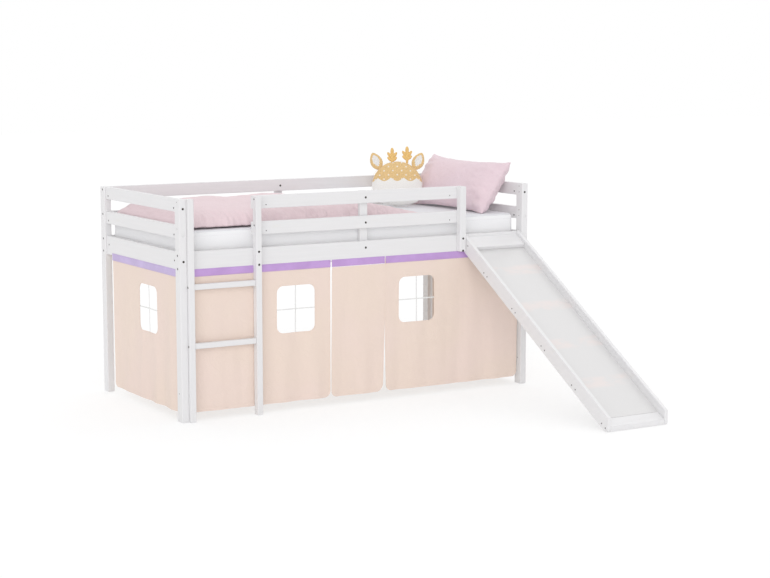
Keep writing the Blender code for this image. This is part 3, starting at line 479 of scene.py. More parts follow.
def plush(name, colour, cream, border=None):
    """Short plush. Above a scalloped border it has the main colour with cream dots, below it is cream."""
    f = Finish(name, 0.95, sheen=(0.5, 0.4))
    tufts = f.noise(f.uv, 130.0, 4.0)
    tuft_share = f.ramp(tufts, 0.3, 0.7)
    top = f.toned(tuft_share, colour, 0.86, 1.06)
    if border is not None:
        slanted = f.stretched(f.uv, (28, 28, 28), (0, 0, radians(45)))
        values = {"Vector": slanted, "Scale": 1.0, "Randomness": 0.0}
        dots = f.add("ShaderNodeTexVoronoi", values).outputs["Distance"]
        top = f.blend(f.ramp(dots, 0.11, 0.15, 0.75, 0.0), top, cream)
        scallop_pitch, scallop_depth, edge_blur = 0.074, 0.020, 0.0008
        x, y, _ = f.split(f.uv)
        scallop = f.calc("ABSOLUTE", f.wave("COSINE", x, scallop_pitch))
        edge = f.minus(border, f.times(scallop, scallop_depth))
        above = f.ramp(f.minus(y, edge), -edge_blur, edge_blur)
        top = f.blend(above, f.toned(tuft_share, cream, 0.955, 1.01), top)
    return f.done(top, f.relief(f.noise(f.uv, 900.0, 3.0), 0.6, tufts, 0.6), 0.0007, 0.7)


# ---------------------------------------------------------------- mesh helpers


def link_mesh(name, mesh, *materials):
    item = bpy.data.objects.new(name, mesh)
    bpy.context.scene.collection.objects.link(item)
    for material in materials:
        mesh.materials.append(material)
    return item


def open_mesh(bm, name):
    """The bmesh as a plain mesh, with its faces as they are."""
    mesh = bpy.data.meshes.new(name)
    bm.to_mesh(mesh)
    bm.free()
    return mesh


def closed_mesh(bm, name):
    """A closed bmesh as a mesh whose faces point outwards."""
    bmesh.ops.recalc_face_normals(bm, faces=bm.faces[:])
    if bm.calc_volume(signed=True) < 0:
        bmesh.ops.reverse_faces(bm, faces=bm.faces[:])
    return open_mesh(bm, name)


def bridge(bm, rings, caps=True):
    """Faces from each ring of points to the next and, where asked, over both ends."""
    for low, high in zip(rings, rings[1:]):
        for k in range(len(low)):
            n = (k + 1) % len(low)
            bm.faces.new((low[k], low[n], high[n], high[k]))
    if caps:
        bm.faces.new(rings[0])
        bm.faces.new(rings[-1])


def evaluated(item, **options):
    graph = bpy.context.evaluated_depsgraph_get()
    return bpy.data.meshes.new_from_object(item.evaluated_get(graph), depsgraph=graph, **options)


def settle(item):
    """Replace an object's mesh by what its modifiers make of it, and drop the modifiers."""
    made = evaluated(item, preserve_all_data_layers=True)
    materials = list(item.data.materials)
    item.modifiers.clear()
    item.data = made
    if not made.materials:
        for material in materials:
            made.materials.append(material)
    return item


def remeshed(item, voxel, smooth_faces=False):
    """The same form in an even mesh of small cells."""
    remesh = item.modifiers.new("Even mesh", "REMESH")
    remesh.mode = "VOXEL"
    remesh.voxel_size = voxel
    remesh.use_smooth_shade = smooth_faces
    return settle(item)


def smooth(item, angle=None):
    item.data.shade_smooth()
    if angle is not None:
        item.data.set_sharp_from_angle(angle=radians(angle))
    return item


def read(mesh, key="co"):
    """A row for each point of a mesh: its place or its normal."""
    values = np.empty(len(mesh.vertices) * 3)
    mesh.vertices.foreach_get(key, values)
    return values.reshape(-1, 3)


def move_points(item, spots):
    item.data.vertices.foreach_set("co", spots.ravel())
    item.data.update()


def rest_on_mattress(item):
    """Bring the points that are under the mattress's face up to it."""
    spots = read(item.data)
    spots[:, 2] = np.maximum(spots[:, 2], MATTRESS_FACE)
    move_points(item, spots)
    return spots


def into(spots, matrix):
    """Rows of places seen from another place."""
    return spots @ np.array(matrix.to_3x3()).T + np.array(matrix.translation)


def write_uv(item, places):
    """Give a piece its cloth UV map, in metres, from one (u, v) for each of its points."""
    layer = item.data.uv_layers.get("cloth") or item.data.uv_layers.new(name="cloth")
    corner = np.empty(len(item.data.loops), dtype=np.int32)
    item.data.loops.foreach_get("vertex_index", corner)
    layer.data.foreach_set("uv", np.asarray(places)[corner].ravel())


def front_uv(item):
    """A cloth UV map as seen from the front."""
    write_uv(item, read(item.data)[:, [0, 2]])


def uv_from_faces(bm, along):
    layer = bm.loops.layers.uv.new("cloth")
    for face in bm.faces:
        for corner in face.loops:
            corner[layer].uv = (corner.vert.co[along], corner.vert.co.z)


def ripple(spots, scale, seed=0.0):
    """Soft noise from -1 to 1 at each point, with one scale or with one for each axis."""
    places = spots * np.array(scale) + seed * np.array((3.7, 1.3, 2.1))
    return np.array([noise.noise(Vector(place)) for place in places])


def round_rectangle(wide, high, radius, steps):
    """Points round a rectangle, from its half sizes up to its corners' centres and from their radius."""
    points = []
    for side, level, first in ((1, 1, 0), (-1, 1, 90), (-1, -1, 180), (1, -1, 270)):
        for k in range(steps + 1):
            angle = radians(first + 90 * k / steps)
            points.append((side * wide + radius * cos(angle), level * high + radius * sin(angle)))
    return points


def dense(points, step=0.006, closed=True):
    """More points along a line, about a step apart; a closed line ends where it starts."""
    out = []
    for one, two in zip(points, points[1:] + points[:1] if closed else points[1:]):
        count = max(1, int(dist(one, two) / step))
        out.extend(tuple(a + (b - a) * k / count for a, b in zip(one, two)) for k in range(count))
    return out + [tuple(points[0] if closed else points[-1])]


def tube(name, paths, radius, material):
    """Round piping along closed lines, as a plain mesh."""
    curve = bpy.data.curves.new(name, "CURVE")
    curve.dimensions = "3D"
    curve.bevel_depth = radius
    curve.bevel_resolution = 3
    curve.use_fill_caps = True
    for path in paths:
        spline = curve.splines.new("POLY")
        spline.points.add(len(path) - 1)
        for point, place in zip(spline.points, path):
            point.co = (*place, 1.0)
        spline.use_cyclic_u = True
    holder = bpy.data.objects.new(f"{name}_line", curve)
    bpy.context.scene.collection.objects.link(holder)
    mesh = evaluated(holder)
    bpy.data.objects.remove(holder)
    mesh.materials.clear()
    item = smooth(link_mesh(name, mesh, material))
    front_uv(item)
    return item


def hand_over(piece, body, node=None):
    """Attach a piece to the body that it rides on and, where it has one, hide its imported solid."""
    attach(piece, body)
    if node:
        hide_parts(node)
    return piece


# ---------------------------------------------------------------- small pieces that repeat


def stitch_tree(name):
    """Stitches set out along lines: each one a short piece of thread that follows its line."""
    g = Repeat(name, ("Pitch", "Length", "Thread radius"), Thread="Material")
    line = g.add("GeometryNodeMeshToCurve", {"Mesh": g.given["Geometry"]}).outputs[0]
    spaced = g.add("GeometryNodeResampleCurve", {"Curve": line, "Length": g.given["Pitch"]}, mode="LENGTH")
    stitch = g.cylinder(5, g.given["Thread radius"], g.given["Length"])
    aim = g.aim(g.add("GeometryNodeInputTangent").outputs[0])
    values = {"Min": (0.9, 0.9, 0.85), "Max": (1.1, 1.1, 1.05), "Seed": g.given["Seed"]}
    size = g.add("FunctionNodeRandomValue", values, data_type="FLOAT_VECTOR").outputs[0]
    return g.finish(spaced.outputs[0], stitch, g.given["Thread"], Rotation=aim, Scale=size)


FASTENER_SIZES = (
    "Head radius", "Face radius", "Head height", "Recess size", "Recess depth", "Shank radius", "Shank length"
)


def fastener_tree(name, recess):
    """Fasteners at points: a head with its recess, and a shank, turned to each point's own direction."""
    g = Repeat(name, FASTENER_SIZES, Finish="Material")
    sizes = [g.given[name] for name in FASTENER_SIZES]
    head_radius, face_radius, height, size, depth, shank_radius, shank_length = sizes
    values = {"Vertices": 20, "Radius Top": face_radius, "Radius Bottom": head_radius, "Depth": height}
    head = g.lifted(g.add("GeometryNodeMeshCone", values).outputs["Mesh"], g.times(height, -1.0))
    deep = g.times(depth, 2.0)
    if recess == "hexagon":
        cuts = [g.cylinder(6, size, deep)]
    else:
        wide, narrow = g.times(size, 2.0), g.times(size, 0.45)
        cuts = []
        for across, along in [(wide, narrow)] if recess == "slot" else [(wide, narrow), (narrow, wide)]:
            block = g.add("ShaderNodeCombineXYZ", {"X": across, "Y": along, "Z": deep}).outputs[0]
            cuts.append(g.add("GeometryNodeMeshCube", {"Size": block}).outputs["Mesh"])
    cutter = g.add("GeometryNodeMeshBoolean", {"Mesh 1": head}, operation="DIFFERENCE", solver="EXACT")
    for cut in cuts:
        g.tree.links.new(cut, cutter.inputs["Mesh 2"])
    under = g.times(g.plus(g.times(shank_length, 0.5), height), -1.0)
    joined = g.add("GeometryNodeJoinGeometry", {0: cutter.outputs[0]})
    g.tree.links.new(g.lifted(g.cylinder(10, shank_radius, shank_length), under), joined.inputs[0])
    way = g.add("GeometryNodeInputNamedAttribute", {"Name": "aim"}, data_type="FLOAT_VECTOR").outputs[0]
    angle = g.add("FunctionNodeRandomValue", {"Seed": g.given["Seed"]}, data_type="FLOAT").outputs[1]
    spin = g.add("FunctionNodeAxisAngleToRotation", {"Angle": g.times(angle, 2 * pi)}).outputs[0]
    values = {"Rotation": g.aim(way), "Rotate By": spin}
    turn = g.add("FunctionNodeRotateRotation", values, rotation_space="LOCAL").outputs[0]
    return g.finish(g.given["Geometry"], joined.outputs[0], g.given["Finish"], Rotation=turn)


def run_tree(item, tree, values):
    """Run a tree on an object with these named inputs, and keep the result as its plain mesh."""
    modifier = item.modifiers.new(tree.name, "NODES")
    modifier.node_group = tree
    for socket in tree.interface.items_tree:
        if socket.item_type == "SOCKET" and socket.in_out == "INPUT" and socket.name in values:
            modifier[socket.identifier] = values[socket.name]
    item.update_tag()
    bpy.context.view_layer.update()
    return settle(item)


def stitches(name, lines, material, body, pitch=None, radius=0.00032):
    """Rows of stitching along lines of points, as one piece on a body."""
    mesh = bpy.data.meshes.new(name)
    spots, edges = [], []
    for line in lines:
        edges.extend((k, k + 1) for k in range(len(spots), len(spots) + len(line) - 1))
        spots.extend(tuple(point) for point in line)
    mesh.from_pydata(spots, edges, [])
    pitch = pitch or settings().curtain.stitch_pitch
    label = "Stitches along lines"
    tree = bpy.data.node_groups.get(label) or stitch_tree(label)
    values = {"Pitch": pitch, "Length": pitch * 0.68, "Thread radius": radius, "Thread": material, "Seed": 3}
    return hand_over(run_tree(link_mesh(name, mesh), tree, values), body)


def set_fasteners(name, spots, recess, sizes, finish, sunk):
    """Put one kind of fastener at every spot, sunk into its hole, as one piece on the bed."""
    mesh = bpy.data.meshes.new(name)
    mesh.from_pydata([place - way * sunk for place, way in spots], [], [])
    attribute = mesh.attributes.new("aim", "FLOAT_VECTOR", "POINT")
    attribute.data.foreach_set("vector", [c for _, way in spots for c in way])
    label = f"Fasteners with a {recess}"
    tree = bpy.data.node_groups.get(label) or fastener_tree(label, recess)
    values = {**dict(zip(FASTENER_SIZES, sizes)), "Finish": finish, "Seed": settings().fastener.seed}
    return hand_over(run_tree(link_mesh(name, mesh), tree, values), "bed")


# ---------------------------------------------------------------- where the fasteners sit

LEFT, RIGHT = Vector((-1, 0, 0)), Vector((1, 0, 0))
FRONT, BACK = Vector((0, -1, 0)), Vector((0, 1, 0))
UP = Vector((0, 0, 1))
RAIL_AXIS = 0.011  # a rail's middle, from its face
FIRST_DROP = 0.016  # the upper hole of a rail, below its top edge
SECOND_DROP = 0.048  # the lower hole of a rail
END_BOARD_DROP = 0.046
MID_POST_DROP = 0.036
BOARD_EDGE = 0.017  # a side board's bolts, from its edges
STILE_EDGE = 0.035  # the ladder's bolts through the side board, from its edges
RUNG_DEPTH = 0.0137
SLIDE_EDGE = 0.094  # the slide's bolts, from its cheeks' outer faces
END_NUT = 0.0863  # the end rails' nuts, from the bed's front and rear
SIDE_NUT = 0.0683  # the side boards' nuts, from the bed's ends
GUARD_NUT = 0.0157  # the guard rails' nuts, from the back of the guard post
GUARD_SCREW = 0.045  # the guard rails' screws, beside the guard post
SPARE_HOLE_Y = 0.030
SPARE_HOLE_Z = 0.145
HEAD_SUNK = 0.001
NUT_SUNK = 0.0008
HEAD_HEIGHT = 0.003
SLIDE_BOLT_Z = on_slide(0.0, 0.0)[1] + (PANEL_TOP + GAP) / cos(SLOPE) + 0.006
FRONT_Y, REAR_Y = BED_CORNER.y, BED_CORNER.y + BED_DEPTH
LEFT_X, RIGHT_X = BED_CORNER.x, BED_CORNER.x + BED_END
BOARD_BACK_Y = BED_CORNER.y + BOARD_BACK
REAR_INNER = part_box("rear_side_board")[0].y
GUARD_TOPS = [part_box(node)[1].z for node in ("rear_top_rail", "rear_lower_rail")]
GUARD_HEIGHTS = [top - FIRST_DROP for top in GUARD_TOPS]
BOARD_HEIGHTS = (BOARD_TOP - BOARD_EDGE, BOARD_BOTTOM + BOARD_EDGE)
END_DROPS = {"left_top_rail": SECOND_DROP, "left_lower_rail": SECOND_DROP, "left_end_board": END_BOARD_DROP}
END_HEIGHTS = [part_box(node)[1].z - drop for node, drop in END_DROPS.items()]


def spot(x, y, z, way):
    """A fastener's place and the direction that its head faces."""
    return Vector((x, y, z)), way


def frame_bolts():
    """Spots of the bolt heads in the posts, rails, stiles and boards, and of the capped bolts."""
    bolts, caps = [], []
    for rail in ("left_top_rail", "right_top_rail"):
        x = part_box(rail)[0].x + RAIL_AXIS
        for level, z in enumerate(END_HEIGHTS):
            (caps if level == 1 else bolts).extend((spot(x, FRONT_Y, z, FRONT), spot(x, REAR_Y, z, BACK)))
    rail_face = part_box("rear_top_rail")[0].y
    for z in GUARD_HEIGHTS:
        bolts += [spot(x, rail_face + RAIL_AXIS, z, way) for x, way in ((LEFT_X, LEFT), (RIGHT_X, RIGHT))]
    low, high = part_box("front_mid_post")
    for top in GUARD_TOPS + [BOARD_TOP]:
        for y in (BED_CORNER.y + BOARD_FRONT, rail_face):
            bolts.append(spot((low.x + high.x) / 2, y, top - MID_POST_DROP, FRONT))
    for node in ("ladder_right_stile", "front_short_post"):
        low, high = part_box(node)
        x = (low.x + high.x) / 2
        bolts += [spot(x, BOARD_BACK_Y, z, BACK) for z in GUARD_HEIGHTS]
        bolts += [spot(x, low.y, z, FRONT) for z in BOARD_HEIGHTS]
    left_low, left_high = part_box("ladder_left_stile")
    for z in (BOARD_TOP - STILE_EDGE, BOARD_BOTTOM + STILE_EDGE):
        bolts.append(spot((left_low.x + left_high.x) / 2, BOARD_BACK_Y, z, BACK))
    for node in ("ladder_upper_rung", "ladder_lower_rung"):
        low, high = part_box(node)
        for x, way in ((left_low.x, LEFT), (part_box("ladder_right_stile")[1].x, RIGHT)):
            bolts.append(spot(x, left_low.y + RUNG_DEPTH, (low.z + high.z) / 2, way))
    for x in (CHEEK_LOW.x + SLIDE_EDGE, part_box("slide_right_cheek")[1].x - SLIDE_EDGE):
        bolts.append(spot(x, BOARD_BACK_Y, SLIDE_BOLT_Z, BACK))
    return bolts, caps


def barrel_nuts():
    """Spots of the barrel nuts' slotted faces."""
    nuts = []
    for rail in ("left_top_rail", "right_top_rail"):
        for z in END_HEIGHTS:
            nuts += [spot(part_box(rail)[0].x, y, z, LEFT) for y in (FRONT_Y + END_NUT, REAR_Y - END_NUT)]
    for x in (LEFT_X + SIDE_NUT, RIGHT_X - SIDE_NUT):
        for z in BOARD_HEIGHTS:
            nuts += [spot(x, BOARD_BACK_Y, z, BACK), spot(x, REAR_INNER, z, FRONT)]
        nuts += [spot(x, REAR_INNER, z, FRONT) for z in GUARD_HEIGHTS]
    stile_low, stile_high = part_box("ladder_right_stile")
    for x, way in ((stile_low.x, LEFT), (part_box("front_short_post")[1].x, RIGHT)):
        nuts += [spot(x, stile_high.y - GUARD_NUT, z, way) for z in GUARD_HEIGHTS]
    return nuts


def guard_marks():
    """Spots of the screws in the guard rails' front, beside the stile and the short post."""
    tops = [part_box(node)[1].z for node in ("front_top_rail", "front_lower_rail")]
    sides = (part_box("ladder_right_stile")[1].x + GUARD_SCREW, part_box("front_short_post")[0].x - GUARD_SCREW)
    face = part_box("front_top_rail")[0].y
    return [spot(x, face, top - SECOND_DROP, FRONT) for x in sides for top in tops]


def spare_holes():
    """Spots of the unused holes in the front posts, where the ladder's side can be changed."""
    outer = [SPARE_HOLE_Z] + GUARD_HEIGHTS
    inner = outer + [top - SECOND_DROP for top in GUARD_TOPS]
    holes = []
    for node, out, back in (("post_front_left", LEFT, RIGHT), ("post_front_right", RIGHT, LEFT)):
        low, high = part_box(node)
        faces = (low.x, high.x) if out is LEFT else (high.x, low.x)
        for x, way, heights in ((faces[0], out, outer), (faces[1], back, inner)):
            holes += [spot(x, BED_CORNER.y + SPARE_HOLE_Y, z, way) for z in heights]
    return holes


def cheek_screws():
    """Spots of the screws in the cheeks: pairs at the battens and the foot, one at the head."""
    battens, half_pair, foot_clear, foot_inward = 4, 0.0175, 0.0015, 0.030
    head_along, head_lift = 0.029, 0.011
    foot_y = CHEEK_LOW.y + foot_clear
    length = (CHEEK_HIGH.y - foot_y - PANEL_TOP * sin(SLOPE)) / cos(SLOPE)
    centres = [BATTEN_FIRST + k * BATTEN_PITCH for k in range(battens)] + [length - foot_inward]
    marks = [(centre + shift, BATTEN_MIDDLE) for centre in centres for shift in (-half_pair, half_pair)]
    marks.append((head_along, PANEL_TOP + GAP + head_lift))
    screws = []
    for along, lift in marks:
        y, z = on_slide(along, lift)
        screws += [spot(CHEEK_LOW.x, y, z, LEFT), spot(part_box("slide_right_cheek")[1].x, y, z, RIGHT)]
    return screws


def slat_screws():
    """Spots of the small screws at both ends of each slat."""
    slats, slat_width, slat_drop = 14, 0.066, 0.0008
    from_front, from_rear = 0.010, 0.012
    low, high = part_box("slatted_base")
    pitch = (high.x - low.x - slat_width) / (slats - 1)
    ends = (low.y + from_front, high.y - from_rear)
    top = high.z - slat_drop
    return [spot(low.x + slat_width / 2 + k * pitch, y, top, UP) for k in range(slats) for y in ends]


# ---------------------------------------------------------------- curtain

CLOTH_TOP = BOARD_BOTTOM - GAP
CLOTH_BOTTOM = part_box("curtain_front_left")[0].z
REAR_BARE = 0.066  # the left end's cloth and tape stop this far short at the rear post
SWAY_TURNS = 3.7  # folds to each slow change of their depth
SIDE_HEM = 0.009
HEM_SHARE = 0.6  # what a turned hem adds, as a share of the cloth's thickness
TOP_PLAIN = 0.02  # no hem this close to the tape
CELL_WIDTH = 0.0075
CELL_HEIGHT = 0.011
THREAD_PROUD = 0.0001  # how far the stitches stand off the cloth
CORNER, SLIT_CORNER, FLAP_CORNER = 0.030, 0.034, 0.044
WINDOW_WIDTH = 0.222
WINDOW_HEIGHT = 0.245
WINDOW_CORNER = 0.036
WINDOW_MIDDLE = 0.527  # above the floor
WINDOW_DROP = CLOTH_TOP - WINDOW_MIDDLE


def fold(distance, fall):
    """How far the cloth stands back from its flat plane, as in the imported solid."""
    s = settings().curtain
    wave = 0.5 - 0.5 * cos(2 * pi * distance / s.fold_pitch)
    sway = 0.6 + 0.4 * cos(2 * pi * distance / (SWAY_TURNS * s.fold_pitch) + 0.7)
    return s.fold_depth * wave * sway * fall


def small_folds(distance, fall, seed):
    """Finer waves that the cloth gathers towards its hem."""
    shape = noise.noise(Vector((distance * 17.0, fall * 2.2, seed)))
    crease = noise.noise(Vector((distance * 46.0, fall * 5.0, seed + 9.0)))
    return (0.0040 * (shape + 0.7) * (0.25 + 0.75 * fall) + 0.0004 * (crease + 1.0)) * min(1.0, fall / 0.05)


def even_places(length, cell, marks, corners):
    """Even places from 0 to length, with close pairs at marked lines and at round corners."""
    count = round(length / cell)
    spots = {0.0, length, *(length * k / count for k in range(count + 1))}
    for mark in marks:
        spots.update((mark - 0.0006, mark + 0.0006))
    for corner, base, way in ((corners[0], 0.0, 1), (corners[1], length, -1)):
        if corner:
            spots.update(base + way * corner * share for share in (0.03, 0.1, 0.2))
    ordered = sorted(place for place in spots if -1e-9 <= place <= length + 1e-9)
    kept = ordered[:1]
    for place in ordered[1:]:
        if place - kept[-1] > 0.0005:
            kept.append(place)
    kept[-1] = length
    return kept


class Cloth:
    """One curtain panel: its place, its cut, its window and the way that its edges draw in."""

    def __init__(self, name, node, start, length, turn, seed, window=None, carrier="front_side_board",
                 corners=(CORNER, CORNER), draw=None, body="bed", height=CLOTH_TOP - CLOTH_BOTTOM):
        self.name, self.node, self.body, self.carrier = name, node, body, carrier
        self.length, self.height, self.corners, self.window = length, height, corners, window
        self.draw = draw or (lambda fall: (0.0, 0.0))
        self.seed = seed
        self.place = Matrix.Translation(start) @ Matrix.Rotation(turn, 4, "Z")

    def rise(self, x):
        """How far the hem rises at x for the rounded bottom corners."""
        for corner, inside in zip(self.corners, (x, self.length - x)):
            if inside < corner:
                return corner - sqrt(max(0.0, corner**2 - (corner - inside) ** 2))
        return 0.0

    def at(self, x, drop, offset):
        """The local point at a distance along the cloth and down it, off its front face by offset."""
        fall = min(1.0, max(0.0, drop / self.height))
        left, right = self.draw(fall)
        share = x / self.length
        across = left * (1 - share) ** 3 - right * share**3
        return Vector((x + across, fold(x, fall) + small_folds(x, fall, self.seed) + offset, -drop))

    def line(self, spots, offset):
        """Points of the row frame that follow the cloth's face at (x, drop) spots."""
        return [self.place @ self.at(x, drop, offset) for x, drop in spots]

    def mesh(self):
        s = settings().curtain
        hem = s.hem_height
        columns = even_places(self.length, CELL_WIDTH, (SIDE_HEM, self.length - SIDE_HEM), self.corners)
        levels = even_places(self.height, CELL_HEIGHT, (self.height - hem,), (0.0, 0.0))
        last, deep = len(columns) - 1, len(levels) - 1
        bm = bmesh.new()
        sheets = []
        for back in (False, True):
            grid = []
            for x in columns:
                line = []
                reach = self.height - self.rise(x)
                for level in levels:
                    drop = level * reach / self.height
                    turned = drop > reach - hem - 0.0001 or x < SIDE_HEM or x > self.length - SIDE_HEM
                    thick = s.thickness + (s.thickness * HEM_SHARE if turned and drop > TOP_PLAIN else 0.0)
                    line.append(bm.verts.new(self.at(x, drop, thick if back else 0.0)))
                grid.append(line)
            for left, right in zip(grid, grid[1:]):
                for r in range(deep):
                    bm.faces.new((left[r], left[r + 1], right[r + 1], right[r]))
            sheets.append(grid)
        front, back = sheets
        rim = [(i, 0) for i in range(last + 1)] + [(last, r) for r in range(1, deep + 1)]
        rim += [(i, deep) for i in range(last - 1, -1, -1)] + [(0, r) for r in range(deep - 1, 0, -1)]
        for (i, r), (j, t) in zip(rim, rim[1:] + rim[:1]):
            bm.faces.new((front[i][r], front[j][t], back[j][t], back[i][r]))
        uv_from_faces(bm, 0)
        mesh = closed_mesh(bm, self.name)
        if self.window is not None:
            mesh = self.cut_window(mesh)
        mesh.transform(self.place)
        return mesh

    def outline(self, grow):
        """The window's rounded outline as (x, drop) points, grown by a distance."""
        wide, high = WINDOW_WIDTH / 2 - WINDOW_CORNER, WINDOW_HEIGHT / 2 - WINDOW_CORNER
        points = round_rectangle(wide, high, WINDOW_CORNER + grow, 8)
        return [(self.window + x, WINDOW_DROP - z) for x, z in points]

    def cut_window(self, mesh):
        """Cut the window's opening right through the cloth."""
        item = link_mesh(f"{self.name}_uncut", mesh)
        ahead, behind = -0.03, 0.05
        bm = bmesh.new()
        bridge(bm, [[bm.verts.new((x, y, -drop)) for x, drop in self.outline(0.0)] for y in (ahead, behind)])
        cutter = link_mesh(f"{self.name}_cutter", closed_mesh(bm, "cutter"))
        boolean = item.modifiers.new("Window", "BOOLEAN")
        boolean.operation = "DIFFERENCE"
        boolean.solver = "EXACT"
        boolean.object = cutter
        cut = settle(item).data
        bpy.data.objects.remove(item)
        bpy.data.objects.remove(cutter)
        return cut


def hem_lines(cloth):
    """Stitch lines of a panel: along the hem and up both sides."""
    from_side, from_top, from_foot, from_turn, step, count = 0.007, 0.004, 0.006, 0.003, 0.01, 60
    left, right = from_side, cloth.length - from_side
    above = settings().curtain.hem_height - from_turn
    along = [left + (right - left) * k / count for k in range(count + 1)]
    feet = [(x, cloth.height - cloth.rise(x) - from_foot) for x in (left, right)]
    sides = [dense([(x, from_top), (x, foot)], step, False) for x, foot in feet]
    return [[(x, cloth.height - cloth.rise(x) - above) for x in along]] + sides


def ribbon(name, cloth, runs, width, thickness, material):
    """Narrow flat ribbons on the cloth, each along (x, drop) spots and at its own offset."""
    bm = bmesh.new()
    for spots, offset in runs:
        rings = []
        for k, (x, drop) in enumerate(spots):
            (x0, d0), (x1, d1) = spots[max(k - 1, 0)], spots[min(k + 1, len(spots) - 1)]
            half = width / 2 / hypot(x1 - x0, d1 - d0)
            ring = []
            for side, lift in ((-1, 0), (1, 0), (1, 1), (-1, 1)):
                across, down = x - side * (d1 - d0) * half, drop + side * (x1 - x0) * half
                ring.append(bm.verts.new(cloth.place @ cloth.at(across, down, offset + lift * thickness)))
            rings.append(ring)
        bridge(bm, rings)
    item = link_mesh(name, closed_mesh(bm, name), material)
    front_uv(item)
    return hand_over(item, cloth.body)


def flap_draw(fall):
    """The door panel draws in at its top left, and at its lower right where the slit stands open."""
    left = 0.0045 * max(0.0, 1 - fall / 0.72)
    right = 0.013 * max(0.0, (fall - 0.45) / 0.55) ** 1.4 - 0.0008 * max(0.0, 1 - fall / 0.45)
    return left, right


def right_panel_draw(fall):
    """The panel beside the door leans away from it near the floor."""
    return 0.006 * max(0.0, (fall - 0.55) / 0.45) ** 1.3 - 0.0016 * max(0.0, min(1.0, (0.55 - fall) * 8)), 0.0


def left_panel_draw(fall):
    return 0.0, 0.003 * max(0.0, 1 - fall / 0.75)


def cloth_panels():
    """Every curtain panel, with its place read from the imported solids."""
    from_end, from_side, below_hinge = 0.050, 0.068, 0.0009
    window_left, window_right, window_front = 0.391, 0.342, 0.086  # from the bed's middle
    slit_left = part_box("tape_front_left")[1].x - BED_CORNER.x
    slit_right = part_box("tape_front_right")[0].x - BED_CORNER.x
    middle = BED_END / 2
    end_length = BED_DEPTH - 2 * from_side
    left_start = from_side + end_length - REAR_BARE
    window_y = BED_DEPTH / 2 - window_front
    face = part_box("left_end_board")[0].x - BED_CORNER.x
    low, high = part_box("curtain_flap")
    hinge = high.z - below_hinge
    return (
        Cloth("front_left_cloth", "curtain_front_left", on_bed(from_end, BOARD_FRONT, CLOTH_TOP),
              slit_left - from_end, turn=0, seed=1.0, window=middle - window_left - from_end,
              corners=(CORNER, SLIT_CORNER), draw=left_panel_draw),
        Cloth("front_right_cloth", "curtain_front_right", on_bed(slit_right, BOARD_FRONT, CLOTH_TOP),
              BED_END - from_end - slit_right, turn=0, seed=2.0, window=middle + window_right - slit_right,
              corners=(SLIT_CORNER, CORNER), draw=right_panel_draw),
        Cloth("left_end_cloth", "curtain_left_end", on_bed(face, left_start, CLOTH_TOP),
              end_length - REAR_BARE, turn=-pi / 2, seed=3.0, window=left_start - window_y,
              carrier="left_end_board"),
        Cloth("right_end_cloth", "curtain_right_end", on_bed(BED_END - face, from_side, CLOTH_TOP),
              end_length, turn=pi / 2, seed=4.0, window=window_y - from_side,
              carrier="right_end_board"),
        Cloth("door_flap_cloth", "curtain_flap", Vector((low.x, low.y, hinge)),
              high.x - low.x, turn=0, seed=5.0,
              corners=(CORNER, FLAP_CORNER), draw=flap_draw, body="door_flap", height=hinge - CLOTH_BOTTOM),
    )


def make_panel(cloth, finish, bar_finish, thread_finish):
    """One curtain panel with its hems, stitching and, where it has a window, ribbons across the opening."""
    thickness = settings().curtain.thickness
    piece = smooth(link_mesh(cloth.name, cloth.mesh(), finish), angle=45)
    hand_over(piece, cloth.body, cloth.node)
    area = cloth.length * cloth.height
    offsets = (-THREAD_PROUD, thickness * (1 + HEM_SHARE) + THREAD_PROUD)
    rows = [cloth.line(line, offset) for offset in offsets for line in hem_lines(cloth)]
    if cloth.window is not None:
        area -= WINDOW_WIDTH * WINDOW_HEIGHT - (4 - pi) * WINDOW_CORNER**2
        inner_row, facing_middle, outer_row = 0.0035, 0.0065, 0.011
        facing_width, facing_thickness = 0.013, 0.0006
        bar_overlap, bar_step, bar_width, bar_thickness = 0.009, 0.008, 0.0062, 0.0009
        for grow in (inner_row, outer_row):
            line = dense(cloth.outline(grow))
            rows += [cloth.line(line, offset) for offset in (-THREAD_PROUD, thickness + THREAD_PROUD)]
        x, drop = cloth.window, WINDOW_DROP
        reach_w, reach_h = WINDOW_WIDTH / 2 + bar_overlap, WINDOW_HEIGHT / 2 + bar_overlap
        across = dense([(x - reach_w, drop), (x + reach_w, drop)], bar_step, False)
        down = dense([(x, drop - reach_h), (x, drop + reach_h)], bar_step, False)
        bars = ((across, thickness + 0.0003), (down, thickness + 0.0013))
        facing = ((dense(cloth.outline(facing_middle)), thickness + 0.0001),)
        ribbon(f"{cloth.name}_window_bars", cloth, bars, bar_width, bar_thickness, bar_finish)
        ribbon(f"{cloth.name}_window_facing", cloth, facing, facing_width, facing_thickness, finish)
    stitches(f"{cloth.name}_stitching", rows, thread_finish, cloth.body)


# Shares of the tape's height and of its thickness: the worn edges are thin.
TAPE_EDGE = ((0.0, 0.0), (0.0, 0.35), (0.03, 0.8), (0.10, 1.0))
TAPE_SECTION = (*TAPE_EDGE, (0.5, 0.93), *[(1.0 - across, lift) for across, lift in reversed(TAPE_EDGE)])


